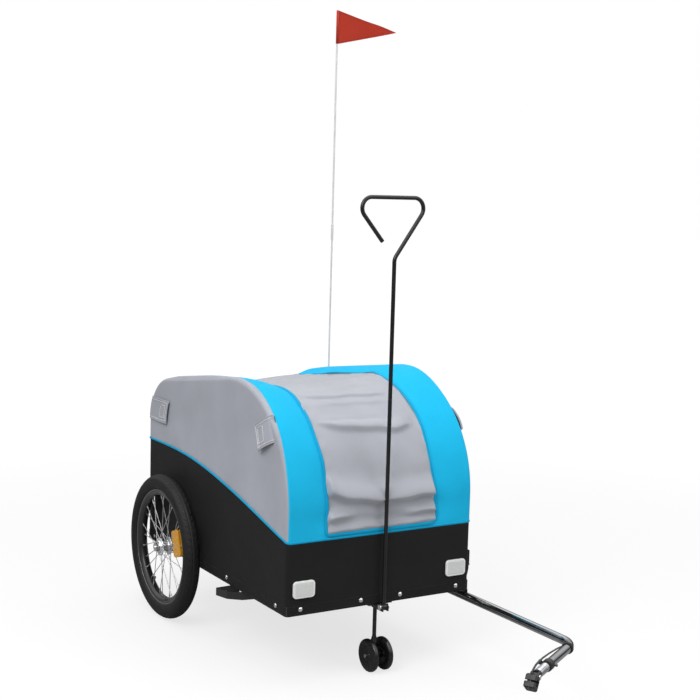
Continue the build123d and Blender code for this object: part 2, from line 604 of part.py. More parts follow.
# ---- caster and handle --------------------------------------------------------------------------------
def front_bracket():
    """Plate under the front tube with the caster socket and the handle's ears."""
    top = RAIL_BOTTOM - GAP
    plate = block(-34, 34, HANDLE_Y + 14, CASTER_Y + 20, top - 3, top)
    socket = rod_z(9, top - 16, top - 2, 0, CASTER_Y)
    bracket = plate + socket
    bracket -= rod_z(CASTER_STEM_R + RUNNING, top - 20, top - 1.2, 0, CASTER_Y)
    for side in (-1, 1):
        x = side * (HANDLE_R + 2.6)
        ear = block(x - 1.75, x + 1.75, HANDLE_Y - 9, HANDLE_Y + 16, HANDLE_PIVOT_Z - 9, top)
        bracket += ear
    bracket -= rod_x(3.05, -30, 30, HANDLE_Y, HANDLE_PIVOT_Z)
    for x in (-24, 24):
        bracket -= rod_z(3.05, top - 10, top + 1, x, RAIL_FRONT_Y)
    part("front_bracket", bracket)
    screws = []
    for x in (-24, 24):
        screw = rod_z(3, top - 3, RAIL_Z - 4, x, RAIL_FRONT_Y)
        screws.append(screw + rod_z(5.5, top - 7.5, top - 3.1, x, RAIL_FRONT_Y))
    return screws


def caster():
    """Swivelling stem with a centre boss, an axle, and two domed wheels."""
    top = RAIL_BOTTOM - GAP - 1.6
    axle_y = CASTER_Y - CASTER_TRAIL
    stem = rod_z(CASTER_STEM_R, CASTER_R + 20, top, 0, CASTER_Y)
    cone = Pos(0, CASTER_Y, CASTER_R + 38) * Cone(9.5, CASTER_STEM_R, 16)
    stem += cone + rod_z(9.5, CASTER_R + 8, CASTER_R + 30, 0, CASTER_Y)
    stem += rod_x(10, -9.5, 9.5, axle_y, CASTER_R)
    stem += block(-6, 6, axle_y - 7, CASTER_Y + 6, CASTER_R, CASTER_R + 20)
    stem -= rod_x(3.05, -40, 40, axle_y, CASTER_R)
    part("caster_stem", stem)
    reach = CASTER_X + CASTER_W / 2 + 2.5
    axle = rod_x(3.0, -reach, reach, axle_y, CASTER_R)
    for side in (-1, 1):
        axle += rod_x(4.6, side * (reach - 1.8), side * (reach + 0.6), axle_y, CASTER_R)
    part("caster_axle", axle)
    half, r = CASTER_W / 2, CASTER_R
    for side, name in ((-1, "right"), (1, "left")):
        edge = [(-half, 3.06), (-half, r - 8), (-half + 3, r - 2), (-3.5, r), (3.5, r), (half - 3, r - 2),
                (half, r - 8), (half, 3.06)]
        profile = make_face(Polyline(*edge, close=True))
        part(f"caster_wheel_{name}", Pos(side * CASTER_X, axle_y, CASTER_R) * revolve(profile, Axis.X))


def handle():
    """Two-piece upright rod with an open triangular grip, on a cross pin at its foot."""
    y = HANDLE_Y
    lower = rod_z(HANDLE_R, HANDLE_PIVOT_Z, HANDLE_JOINT_Z, 0, y)
    lower += rod_x(8, -HANDLE_R - 0.6, HANDLE_R + 0.6, y, HANDLE_PIVOT_Z)
    lower += rod_z(HANDLE_R - 1.6, HANDLE_JOINT_Z - 1, HANDLE_JOINT_Z + 40, 0, y)
    lower -= rod_x(3.05, -20, 20, y, HANDLE_PIVOT_Z)
    lower -= rod_x(1.55, 0, 20, y, HANDLE_JOINT_Z + 10)
    part("handle_lower_rod", lower)
    path = FilletPolyline(
        (0, y, HANDLE_JOINT_Z + 1),
        (0, y, HANDLE_BEND_Z),
        (104, y, HANDLE_TOP_Z),
        (-126, y, HANDLE_TOP_Z),
        (-36, y, HANDLE_TOP_Z - 105),
        radius=26,
    )
    grip = tube_along(path, HANDLE_R)
    grip -= rod_z(HANDLE_R - 1.5, HANDLE_JOINT_Z, HANDLE_JOINT_Z + 41, 0, y)
    grip -= rod_x(1.55, 0, 20, y, HANDLE_JOINT_Z + 10)
    part("handle_grip_rod", grip)
    part("handle_snap_button", rod_x(1.5, 0.5, HANDLE_R + 1.6, y, HANDLE_JOINT_Z + 10))
    reach = HANDLE_R + 5.0
    pin = rod_x(3, -reach, reach, y, HANDLE_PIVOT_Z)
    pin += rod_x(6.5, -reach - 3, -reach + 0.2, y, HANDLE_PIVOT_Z)
    pin += rod_x(6.5, reach - 0.2, reach + 3, y, HANDLE_PIVOT_Z)
    part("handle_pivot_bolt", pin)


# ---- flag -----------------------------------------------------------------------------------------------
def flag():
    """Two-piece pole in a sewn sleeve, with a pennant."""
    z0, z1 = FLAG_SLEEVE_Z
    x0 = CABIN_HALF_W + GAP
    sleeve = block(x0, x0 + 9.2, FLAG_Y - 9, FLAG_Y + 9, z0, z1)
    sleeve -= rod_z(POLE_R + 0.3, z0 + 4, z1 + 1, FLAG_X, FLAG_Y)
    part("flag_sleeve", sleeve)
    middle = (z0 + POLE_TOP_Z) / 2
    lower = rod_z(POLE_R, z0 + 4.5, middle, FLAG_X, FLAG_Y)
    lower += rod_z(POLE_R + 1.1, middle - 22, middle + 22, FLAG_X, FLAG_Y)
    lower -= rod_z(POLE_R + 0.02, middle, middle + 23, FLAG_X, FLAG_Y)
    upper = rod_z(POLE_R, middle + 0.1, POLE_TOP_Z, FLAG_X, FLAG_Y)
    part("flag_pole", lower, upper)
    top = POLE_TOP_Z - 2
    hem = rod_z(POLE_R + 1.1, top - FLAG_H, top, FLAG_X, FLAG_Y)
    cloth = Plane(origin=(FLAG_X, FLAG_Y + 0.5, 0), x_dir=(1, 0, 0), z_dir=(0, -1, 0)).location * extrude(
        make_face(Polyline((2.8, top), (FLAG_L, top - FLAG_H / 2), (2.8, top - FLAG_H), close=True)), 1.0
    )
    pennant = hem + cloth
    pennant -= rod_z(POLE_R + 0.03, top - FLAG_H - 1, top + 1, FLAG_X, FLAG_Y)
    part("flag", pennant)


def main():
    cabin_fabric()
    reflectors()
    part("skirt_bolts", *[skirt_bolt(p, d) for p, d in skirt_bolt_spots()])
    base_frame()
    floor_board()
    hoops()
    screws = spreaders()
    wheel(-1, "right")
    wheel(1, "left")
    tow_arm()
    hitch()
    stow_hook()
    screws += front_bracket()
    part("frame_screws", *screws)
    caster()
    handle()
    flag()
    os.makedirs("parts", exist_ok=True)
    to_origin = Pos(*[-v for v in ORIGIN])
    for name, shape in PARTS.items():
        export_step(to_origin * shape, f"parts/{name}.step")


main()
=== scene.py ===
"""Looks of a two-wheel bicycle trailer: fabric cabin, spoked wheels, caster, pull handle, tow arm and flag.

Lengths are written in millimetres from the middle of the axle line on the ground, as in the CAD:
+X is the trailer's left, -Y is its front and +Z is up. metres() turns them into the frame's metres.
"""

import math

import bmesh
import bpy
import numpy as np
from mathutils import Matrix, Vector


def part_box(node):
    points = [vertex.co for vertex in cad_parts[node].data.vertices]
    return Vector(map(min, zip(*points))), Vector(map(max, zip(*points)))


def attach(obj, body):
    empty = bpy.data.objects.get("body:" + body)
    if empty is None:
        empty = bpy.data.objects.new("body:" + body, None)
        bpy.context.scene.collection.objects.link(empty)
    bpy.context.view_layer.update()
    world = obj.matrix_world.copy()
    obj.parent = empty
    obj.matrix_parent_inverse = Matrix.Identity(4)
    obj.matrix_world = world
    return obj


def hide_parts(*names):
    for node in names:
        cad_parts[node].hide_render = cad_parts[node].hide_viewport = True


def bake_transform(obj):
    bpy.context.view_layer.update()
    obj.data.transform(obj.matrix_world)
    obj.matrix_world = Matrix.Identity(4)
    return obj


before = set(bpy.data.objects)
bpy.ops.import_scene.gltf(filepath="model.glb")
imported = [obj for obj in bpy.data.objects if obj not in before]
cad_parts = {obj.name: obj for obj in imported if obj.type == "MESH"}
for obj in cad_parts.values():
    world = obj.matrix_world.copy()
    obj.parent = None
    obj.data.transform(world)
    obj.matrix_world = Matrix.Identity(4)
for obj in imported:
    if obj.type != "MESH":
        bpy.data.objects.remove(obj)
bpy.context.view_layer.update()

# ---- dimensions shared by several pieces ----
HALF_W = 270.0
FRONT_Y = -637.0
REAR_Y = 184.0
SKIRT_BOTTOM = 177.4
SEAM_FRONT_Z = 357.0  # height of the skirt seam at the front and at the rear
SEAM_REAR_Z = 475.0
FOOT_Z = 330.0  # where the outline's length is counted from
FRONT_ARC = (-347.0, 427.0, 290.0)  # centre y, centre z, radius
REAR_ARC = (54.0, 532.2, 130.0)
ROOF_SLOPE = math.radians(8.0)
EDGE_R = 10.0  # rolled edge between side and roof
SAG_FRONT = 15.0  # how far the bands hang inside the hoops by the cover's edge
SAG_RIGHT = 28.0
SAG_LEFT = 9.0
RIGHT_REAR_RISE = 6.0  # the right hoop stands a little proud along the rear half of the roof
LEFT_CREST_RISE = 11.0  # the left hoop stands a little proud at the crest
HOOP_X = 256.0
SEAM_OVER_RIGHT = 15.0
COVER_HALF = 158.0
COVER_CORNER = 25.0
BINDING_R = 4.2
CORD_R = 3.4
FABRIC = 1.2
WHEEL_R = 200.0
WHEEL_X = 302.0
CABIN_MIDDLE = np.array((0.0, -230.0, 380.0))
SIDES = ((-1, "right"), (1, "left"))
WELD = 0.05  # points of a piece closer than this are joined

left_hub, right_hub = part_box("left_hub"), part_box("right_hub")
ORIGIN = np.array(
    (
        (left_hub[0].x + right_hub[1].x) / 2,
        (left_hub[0].y + left_hub[1].y) / 2,
        (left_hub[0].z + left_hub[1].z) / 2 - WHEEL_R / 1000,
    )
)


def metres(points):
    """Millimetres from the axle middle to the frame's metres."""
    return np.asarray(points, float) * 0.001 + ORIGIN


def smooth(t):
    """Smooth step from 0 to 1."""
    t = np.clip(t, 0.0, 1.0)
    return t * t * (3 - 2 * t)


def between(t, low, rise, high, fall):
    """1 from low to high, rising over rise after low and falling over fall before high."""
    return smooth((t - low) / rise) * smooth((high - t) / fall)


def mirrored(half):
    """A profile of (along, radius) points continued to the other side of its last point."""
    return half + [(-a, r) for a, r in reversed(half[:-1])]


# ---- building meshes ----
def frames_along(path, closed):
    """Unit side and up vectors at each point of a path, turned as little as possible."""
    ahead = np.roll(path, -1, 0) - np.roll(path, 1, 0)
    if not closed:
        ahead[0] = path[1] - path[0]
        ahead[-1] = path[-1] - path[-2]
    ahead = ahead / np.linalg.norm(ahead, axis=1)[:, None]
    start = np.array((0.0, 0.0, 1.0)) if abs(ahead[0][2]) < 0.9 else np.array((0.0, 1.0, 0.0))
    side = np.cross(ahead[0], start)
    sides = []
    for direction in ahead:
        side = side - direction * (side @ direction)
        side = side / np.linalg.norm(side)
        sides.append(side)
    sides = np.array(sides)
    return sides, np.cross(sides, ahead)


class Shape:
    """Points and faces of one piece, in millimetres."""

    def __init__(self):
        self.points = []
        self.faces = []
        self.uvs = []

    def grid(self, points, close_u=False, close_v=False, uv=None, cap=False):
        """A sheet of quads over points[u][v]; cap closes both ends of a tube."""
        points = np.asarray(points, float)
        nu, nv = points.shape[:2]
        start = len(self.points)
        if uv is None:
            along_u = np.linalg.norm(np.diff(points, axis=0, prepend=points[:1]), axis=2).cumsum(0)
            along_v = np.linalg.norm(np.diff(points, axis=1, prepend=points[:, :1]), axis=2).cumsum(1)
            uv = np.stack([along_u, along_v], 2)
        self.points += [tuple(p) for p in points.reshape(-1, 3)]
        self.uvs += [tuple(p) for p in np.asarray(uv, float).reshape(-1, 2) * 0.001]
        for i in range(nu if close_u else nu - 1):
            for j in range(nv if close_v else nv - 1):
                k, m = (i + 1) % nu, (j + 1) % nv
                corners = (i * nv + j, k * nv + j, k * nv + m, i * nv + m)
                self.faces.append(tuple(start + c for c in corners))
        if cap:
            self.faces.append(tuple(start + j for j in range(nv)))
            self.faces.append(tuple(start + (nu - 1) * nv + j for j in reversed(range(nv))))
        return self

    def tube(self, path, radius, sides=12, closed=False, flat=1.0):
        """A round bar along a path; radius may be a list, and flat squeezes it in its up direction."""
        path = np.asarray(path, float)
        side, up = frames_along(path, closed)
        turn = np.arange(sides) * 2 * math.pi / sides
        r = np.broadcast_to(np.asarray(radius, float), (len(path),))[:, None, None]
        ring = side[:, None] * np.cos(turn)[:, None] + up[:, None] * flat * np.sin(turn)[:, None]
        return self.grid(path[:, None] + ring * r, closed, True, cap=not closed)

    def lathe(self, profile, centre, axis, steps=96, close_profile=False):
        """Turns (along, radius) points about an axis through centre."""
        axis = np.array(axis, float) / np.linalg.norm(axis)
        helper = np.array((0.0, 0.0, 1.0)) if abs(axis[2]) < 0.9 else np.array((0.0, 1.0, 0.0))
        a = np.cross(axis, helper)
        a = a / np.linalg.norm(a)
        b = np.cross(axis, a)
        turn = np.arange(steps) * 2 * math.pi / steps
        around = np.cos(turn)[:, None] * a + np.sin(turn)[:, None] * b
        profile = np.asarray(profile, float)
        points = np.asarray(centre) + around[:, None] * profile[None, :, 1:2] + axis * profile[None, :, 0:1]
        return self.grid(points, True, close_profile)

    def make(self, name, paint, slot, nodes=(), shell=0.0, body="trailer", inside=CABIN_MIDDLE):
        """Builds the Blender object. shell thickens an open sheet towards inside, a point within it."""
        mesh = bpy.data.meshes.new(name)
        mesh.from_pydata([tuple(p) for p in metres(self.points)], [], self.faces)
        layer = mesh.uv_layers.new(name="UVMap")
        corner = np.zeros(len(mesh.loops), np.int32)
        mesh.loops.foreach_get("vertex_index", corner)
        layer.data.foreach_set("uv", np.array(self.uvs)[corner].ravel())
        work = bmesh.new()
        work.from_mesh(mesh)
        bmesh.ops.remove_doubles(work, verts=work.verts, dist=WELD / 1000)
        bmesh.ops.recalc_face_normals(work, faces=work.faces)
        if shell:
            middle = Vector(metres(inside))
            facing = sum(f.normal.dot(f.calc_center_median() - middle) * f.calc_area() for f in work.faces)
            if facing < 0:
                bmesh.ops.reverse_faces(work, faces=work.faces)
        work.to_mesh(mesh)
        work.free()
        mesh.polygons.foreach_set("use_smooth", [True] * len(mesh.polygons))
        made = bpy.data.objects.new(name, mesh)
        bpy.context.scene.collection.objects.link(made)
        mesh.materials.append(mats[paint])
        if shell:
            thick = made.modifiers.new("thickness", "SOLIDIFY")
            thick.thickness = shell / 1000
            thick.offset = -1
        if body:
            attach(made, body)
        if nodes:
            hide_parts(*nodes)
        return made


# ---- materials ----
def add_node(tree, kind, inputs=None, **settings):
    """Adds a node to a tree; inputs are values or sockets by name or number."""
    made = tree.nodes.new(kind)
    for key, value in settings.items():
        setattr(made, key, value)
    for key, value in (inputs or {}).items():
        if isinstance(value, bpy.types.NodeSocket):
            tree.links.new(value, made.inputs[key])
        else:
            made.inputs[key].default_value = value
    return made


class Paint:
    """A node material with a Principled shader."""

    def __init__(self, name, colour, roughness, **inputs):
        self.material = bpy.data.materials.new(name)
        self.material.use_nodes = True
        self.tree = self.material.node_tree
        self.shader = self.tree.nodes["Principled BSDF"]
        self.colour = colour
        self.set("Base Color", (*colour, 1.0))
        self.set("Roughness", roughness)
        for key, value in inputs.items():
            self.set(key.replace("_", " "), value)
        self.material.diffuse_color = (*colour, 1.0)

    def set(self, socket, value):
        """Gives the shader a value or a link."""
        target = self.shader.inputs[socket]
        if isinstance(value, bpy.types.NodeSocket):
            self.tree.links.new(value, target)
        else:
            target.default_value = value

    def node(self, kind, inputs=None, **settings):
        return add_node(self.tree, kind, inputs, **settings)

    def object_space(self):
        return self.node("ShaderNodeTexCoord").outputs["Object"]

    def noise(self, scale, detail=3.0, stretch=None):
        """Soft noise between 0 and 1."""
        where = self.object_space()
        if stretch:
            where = self.node("ShaderNodeMapping", {"Vector": where, "Scale": stretch}).outputs[0]
        return self.node("ShaderNodeTexNoise", {"Vector": where, "Scale": scale, "Detail": detail}).outputs[0]

    def maths(self, operation, a, b):
        return self.node("ShaderNodeMath", {0: a, 1: b}, operation=operation).outputs[0]

    def remap(self, value, low, high):
        """Stretches 0.3..0.7 of a noise to low..high."""
        return self.node("ShaderNodeMapRange", {0: value, 1: 0.3, 2: 0.7, 3: low, 4: high}).outputs[0]

    def shade(self, amount):
        """Multiplies the base colour by a value socket."""
        plain = self.node("ShaderNodeRGB")
        plain.outputs[0].default_value = (*self.colour, 1.0)
        scaled = self.node("ShaderNodeVectorMath", {0: plain.outputs[0], "Scale": amount}, operation="SCALE")
        self.set("Base Color", scaled.outputs[0])

    def mottle(self, scale, detail, low, high):
        """Blotches that darken and lighten the colour between two shares of it."""
        self.shade(self.remap(self.noise(scale, detail), low, high))

    def uneven_gloss(self, scale, detail, low, high):
        """Patches whose roughness runs from low to high."""
        self.set("Roughness", self.remap(self.noise(scale, detail), low, high))

    def bump(self, height, depth_mm):
        """Adds relief on top of any relief already there."""
        inputs = {"Height": height, "Distance": depth_mm / 1000, "Strength": 1.0}
        made = self.node("ShaderNodeBump", inputs)
        before = self.shader.inputs["Normal"].links
        if before:
            self.tree.links.new(before[0].from_socket, made.inputs["Normal"])
        self.set("Normal", made.outputs[0])


def woven(name, colour, roughness, pitch=1.1, depth=0.09, sheen=0.25, mottle=0.06, ripple=0.5, gloss=0.3):
    """Coated woven cloth: crossed threads, a soft sheen, uneven dye and shallow ripples."""
    paint = Paint(name, colour, roughness, Sheen_Weight=sheen, Sheen_Roughness=0.45, Specular_IOR_Level=gloss)
    uv = paint.node("ShaderNodeUVMap").outputs[0]
    bands = 2 * math.pi / (20 * pitch / 1000)
    warp = paint.node("ShaderNodeTexWave", {"Vector": uv, "Scale": bands}, bands_direction="X").outputs[1]
    weft = paint.node("ShaderNodeTexWave", {"Vector": uv, "Scale": bands}, bands_direction="Y").outputs[1]
    threads = paint.maths("MULTIPLY", warp, weft)
    broad = paint.noise(9.0, 4.0)
    fine = paint.noise(420.0, 2.0)
    tone = paint.maths("ADD", paint.remap(broad, 1 - mottle, 1 + mottle), paint.remap(fine, -0.03, 0.03))
    tone = paint.maths("ADD", tone, paint.maths("MULTIPLY", threads, 0.05))
    paint.shade(tone)
    paint.set("Roughness", paint.remap(fine, roughness - 0.06, roughness + 0.06))
    paint.bump(paint.noise(38.0, 3.0), ripple)
    paint.bump(threads, depth)
    return paint.material


def plain_metal(name, colour, roughness, brushed=0.0, grain=60.0):
    """Metal with uneven polish and fine scratches."""
    paint = Paint(name, colour, roughness, Metallic=1.0)
    paint.uneven_gloss(grain, 4.0, roughness * 0.7, roughness * 1.35)
    paint.mottle(25.0, 3.0, 0.94, 1.05)
    if brushed:
        paint.bump(paint.noise(900.0, 2.0, stretch=(1.0, 0.05, 1.0)), brushed)
    return paint.material


def gloss_paint(name, colour, roughness=0.22, coat=0.4):
    """Powder-coated metal: glossy with a faint orange peel and dusty patches."""
    paint = Paint(name, colour, roughness, Coat_Weight=coat, Coat_Roughness=0.12, Specular_IOR_Level=0.35)
    paint.uneven_gloss(30.0, 4.0, roughness * 0.8, roughness * 1.4)
    paint.mottle(14.0, 3.0, 0.85, 1.2)
    paint.bump(paint.noise(650.0, 2.0), 0.05)
    return paint.material


def moulded(name, colour, roughness=0.45, grain=0.04):
    """Moulded plastic with a fine grain."""
    paint = Paint(name, colour, roughness)
    paint.mottle(20.0, 3.0, 0.9, 1.12)
    paint.uneven_gloss(120.0, 3.0, roughness - 0.08, roughness + 0.1)
    paint.bump(paint.noise(1500.0, 2.0), grain)
    return paint.material


def tyre_rubber(name):
    """Dull rubber with mould texture and a trace of road dust."""
    paint = Paint(name, (0.0085, 0.0085, 0.009), 0.6, Specular_IOR_Level=0.3)
    dust = paint.noise(22.0, 5.0)
    paint.shade(paint.remap(dust, 0.8, 1.5))
    paint.set("Roughness", paint.remap(dust, 0.52, 0.74))
    paint.bump(paint.noise(900.0, 3.0), 0.12)
    return paint.material


def prismatic(name, colour, cell=2.6):
    """Reflector lens: rows of tiny prisms under a clear glossy skin."""
    paint = Paint(name, colour, 0.22, Coat_Weight=1.0, Coat_Roughness=0.03, IOR=1.5)
    inputs = {"Vector": paint.object_space(), "Scale": 1000 / cell, "Randomness": 0.12}
    cells = paint.node("ShaderNodeTexVoronoi", inputs, distance="CHEBYCHEV")
    paint.shade(paint.maths("ADD", paint.maths("MULTIPLY", cells.outputs[0], 0.35), 0.82))
    paint.bump(cells.outputs[0], 0.5)
    return paint.material


def plywood(name):
    """Sealed board with long grain."""
    paint = Paint(name, (0.2, 0.13, 0.07), 0.5, Coat_Weight=0.2)
    grain = paint.noise(30.0, 6.0, stretch=(1.0, 0.08, 1.0))
    paint.shade(paint.remap(grain, 0.7, 1.25))
    paint.bump(grain, 0.15)
    return paint.material


BLUE = (0.010, 0.50, 0.83)
CORD = (0.002, 0.36, 0.62)
GREY = (0.395, 0.41, 0.455)
SIDE_GREY = (0.395, 0.413, 0.465)
BLACK = (0.0095, 0.0095, 0.0098)

mats = {
    "blue": woven("blue_cloth", BLUE, 0.66, sheen=0.02, mottle=0.03, gloss=0.12),
    "cord": woven("blue_binding", CORD, 0.66, pitch=0.8, sheen=0.05, gloss=0.15),
    "cover": woven("grey_cover_cloth", GREY, 0.5, sheen=0.35, ripple=0.7),
    "side": woven("grey_side_cloth", SIDE_GREY, 0.68, sheen=0.2, ripple=0.35),
    "black_cloth": woven("black_cloth", BLACK, 0.62, 1.3, depth=0.12, sheen=0.02, mottle=0.12, gloss=0.2),
    "webbing": woven("black_webbing", (0.02, 0.02, 0.02), 0.6, pitch=1.8, depth=0.25, sheen=0.2),
    "thread": woven("pale_thread", (0.84, 0.84, 0.86), 0.5, pitch=0.6, sheen=0.2),
    "edging": woven("pale_edging", (0.46, 0.465, 0.50), 0.6, pitch=0.8, sheen=0.2),
    "black_thread": woven("black_thread", (0.03, 0.03, 0.03), 0.5, pitch=0.6, sheen=0.1),
    "flag": woven("red_nylon", (0.46, 0.035, 0.016), 0.6, pitch=0.9, sheen=0.15, gloss=0.15),
    "paint": gloss_paint("black_gloss_paint", (0.012, 0.012, 0.013)),
    "rod": gloss_paint("black_rod_paint", (0.006, 0.006, 0.006), 0.3, coat=0.15),
    "tow": plain_metal("dark_nickel", (0.36, 0.37, 0.38), 0.13, grain=30.0),
    "steel": plain_metal("plated_steel", (0.62, 0.62, 0.62), 0.26, brushed=0.02),
    "spring": plain_metal("spring_steel", (0.40, 0.41, 0.43), 0.24),
    "chrome": plain_metal("chrome", (0.78, 0.78, 0.79), 0.09),
    "spoke": plain_metal("spoke_steel", (0.66, 0.66, 0.67), 0.36),
    "hub": plain_metal("hub_alloy", (0.80, 0.82, 0.84), 0.34, brushed=0.02),
    "rim": gloss_paint("rim_black", (0.014, 0.014, 0.015), 0.3),
    # Pale metal for the rings on the rim lips: painted highlight.
    "rim_lip_shine": plain_metal("rim_painted_highlight", (0.42, 0.42, 0.43), 0.34),
    "tyre": tyre_rubber("tyre_rubber"),
    "clamp": moulded("cast_black", (0.010, 0.010, 0.010), 0.5, 0.1),
    "plastic": moulded("black_plastic", (0.006, 0.006, 0.006), 0.3),
    "dark_plastic": moulded("dark_plastic", (0.02, 0.02, 0.02), 0.55, 0.08),
    "pole": moulded("white_pole", (0.70, 0.70, 0.69), 0.35, 0.02),
    "white_lens": prismatic("white_lens", (0.80, 0.82, 0.80)),
    "red_lens": prismatic("red_lens", (0.5, 0.012, 0.01)),
    "amber": moulded("amber_plastic", (0.74, 0.33, 0.006), 0.3),
    "white_rim": moulded("clear_rim", (0.86, 0.87, 0.86), 0.25),
    "red_rim": moulded("red_rim", (0.40, 0.01, 0.008), 0.25),
    "amber_lens": prismatic("amber_lens", (0.78, 0.36, 0.004), 3.4),
    "board": plywood("sealed_board"),
}


# ---- cabin outline ----
def outline_table():
    """Side outline from the front foot over the roof to the rear foot: length, y, z and outward normal."""
    rise = np.arange(FOOT_Z, FRONT_ARC[1], 1.0)
    rows = [np.stack([np.full_like(rise, FRONT_Y), rise, rise * 0 - 1, rise * 0], 1)]
    for cy, cz, r, start, stop in (
        (*FRONT_ARC, -math.pi / 2, ROOF_SLOPE),
        (*REAR_ARC, ROOF_SLOPE, math.pi / 2),
    ):
        a = np.arange(start, stop, 1.0 / r)
        rows.append(np.stack([cy + r * np.sin(a), cz + r * np.cos(a), np.sin(a), np.cos(a)], 1))
    fall = np.arange(REAR_ARC[1], FOOT_Z, -1.0)
    rows.append(np.stack([np.full_like(fall, REAR_Y), fall, fall * 0 + 1, fall * 0], 1))
    table = np.concatenate(rows)
    length = np.concatenate([[0], np.linalg.norm(np.diff(table[:, :2], axis=0), axis=1).cumsum()])
    return np.concatenate([length[:, None], table], 1)


OUTLINE = outline_table()


def outline(s):
    """y, z, normal y and normal z at length s along the outline."""
    return [np.interp(s, OUTLINE[:, 0], OUTLINE[:, k]) for k in (1, 2, 3, 4)]


def seam_z(y):
    """Height of the S-shaped seam between the black skirt and the grey side."""
    y = np.asarray(y, float)
    knots = [(FRONT_Y, SEAM_FRONT_Z, 0.22), (-350, 425, 0.21), (-85, 468, 0.09), (REAR_Y, SEAM_REAR_Z, 0.0)]
    z = np.full_like(y, SEAM_FRONT_Z)
    for (y0, z0, m0), (y1, z1, m1) in zip(knots, knots[1:]):
        t = np.clip((y - y0) / (y1 - y0), 0, 1)
        d = y1 - y0
        cubic = (
            (2 * t**3 - 3 * t**2 + 1) * z0
            + (t**3 - 2 * t**2 + t) * d * m0
            + (3 * t**2 - 2 * t**3) * z1
            + (t**3 - t**2) * d * m1
        )
        z = np.where(y >= y0, cubic, z)
    return z


# lengths along the outline: the skirt seam and the cover's hem at each end, and where the cover stops
S_FRONT = SEAM_FRONT_Z - FOOT_Z
S_REAR = OUTLINE[-1, 0] - (SEAM_REAR_Z - FOOT_Z)
S_HEM_FRONT = S_FRONT + 9.0
S_HEM_REAR = S_REAR - 9.0
S_COVER_END = 962.0
EDGE_X = HALF_W - EDGE_R
SEAM_IN = EDGE_R * (1 - math.sin(math.pi / 4))


def cover_half(s):
    """Half width of the grey centre cover, with a slightly wavy edge."""
    s = np.asarray(s, float)
    front = 5 * smooth((110 - s) / 60)
    rear = -8 * smooth((s - S_REAR + 130) / 120)
    wave = 1.3 * np.sin(s / 41.0) + 0.9 * np.sin(s / 23.0 + 1.3)
    return COVER_HALF + front + rear + wave * between(s, 60, 120, S_REAR - 60, 120)


def side_seam(s, side):
    """Distance of the band's side seam from the middle; the right one runs inside the hoop on top."""
    s = np.asarray(s, float)
    over = (SEAM_OVER_RIGHT if side < 0 else 0.0) * smooth((s - 150) / 330)
    return HALF_W - SEAM_IN - over * smooth((S_REAR - 120 - s) / 200)


def roof_sag(s, x):
    """How far the fabric hangs inside the outline, measured along its normal."""
    side = np.abs(x)
    across = np.clip((HOOP_X - side) / (HOOP_X - COVER_HALF), 0, 1) ** 1.8
    crest = smooth((s - 400) / 170)
    right_share = smooth((COVER_HALF - x) / (2 * COVER_HALF))
    top_sag = SAG_LEFT + (SAG_RIGHT - SAG_LEFT) * right_share
    front_sag = 0.5 * SAG_FRONT * (smooth((s - S_FRONT) / 60) + smooth((s - 75) / 90))
    depth = (front_sag + (top_sag - front_sag) * crest) * smooth((S_REAR - s) / 150)
    rise = LEFT_CREST_RISE * between(s, 330, 200, S_REAR - 100, 150)
    left = between(x, 150, 60, HALF_W + 4, 14)
    right_rise = RIGHT_REAR_RISE * between(s, 560, 160, S_REAR - 210, 120)
    right = between(-x, 150, 60, HALF_W + 4, 14)
    return depth * across - rise * left - right_rise * right


def roof(s, x, lift=0.0):
    """Point on the roof fabric at length s and sideways position x, lifted off it by lift."""
    s, x = np.broadcast_arrays(np.asarray(s, float), np.asarray(x, float))
    y, z, ny, nz = outline(s)
    over = np.clip((np.abs(x) - EDGE_X) / EDGE_R, 0, 1)
    inset = EDGE_R * (1 - np.sqrt(1 - over**2)) - lift + roof_sag(s, x)
    return np.stack([x, y - ny * inset, z - nz * inset], -1)


def band_waves(s, x):
    """Slight unevenness of the stretched blue bands."""
    inner = smooth((255 - np.abs(x)) / 80)
    side = np.sign(x)
    wave = 1.3 * np.sin(s / 57 + side) + 0.9 * np.sin(s / 31 + 2 * side) + 0.6 * np.sin(s / 17 + x / 30)
    ends = between(s, S_FRONT, 60, S_REAR, 60)
    return inner * wave * ends - 1.2 * smooth((268 - np.abs(x)) / 20) * ends


def corner_radius(side, end):
    """Radius of the cover's corner; the right front one is the tightest."""
    return 9.0 if side < 0 and end < 0 else COVER_CORNER


def hem_loop(shift=0.0):
    """Loop of (s, x) round the cover's edge, shift millimetres outwards, and the matching outer loop."""
    inner, outer = [], []
    for end, hem, skirt in ((-1, S_HEM_FRONT, S_FRONT), (1, S_HEM_REAR, S_REAR)):
        half = float(cover_half(hem))
        for x_side in (end, -end):
            corner = corner_radius(x_side, end)
            r = corner + shift
            cs, cx = hem - end * corner, x_side * (half - corner)
            turn = np.linspace(0, math.pi / 2, 13)
            if x_side == -end:
                turn = turn[::-1]
            for t in turn:
                inner.append((cs + end * r * math.sin(t), cx + x_side * r * math.cos(t)))
                part = t / (math.pi / 2)
                if part < 0.4:
                    run = cs + (skirt - cs) * part / 0.4
                    outer.append((run, x_side * float(side_seam(run, x_side))))
                else:
                    k = (part - 0.4) / 0.6
                    seam_x = float(side_seam(skirt, x_side))
                    outer.append((skirt, x_side * (seam_x + (half - corner - seam_x) * k)))
            if x_side == end:
                across = half - corner_radius(-end, end)
                xs = np.linspace(cx, -end * across, 60)[1:-1]
                inner += [(hem + end * shift, x) for x in xs]
                outer += [(skirt, x) for x in xs]
            else:
                far = S_HEM_REAR if end < 0 else S_HEM_FRONT
                stop = far + end * corner_radius(x_side, -end)
                for run in np.linspace(cs, stop, 220)[1:-1]:
                    inner.append((run, x_side * (float(cover_half(run)) + shift)))
                    outer.append((run, x_side * float(side_seam(run, x_side))))
    return np.array(inner), np.array(outer)


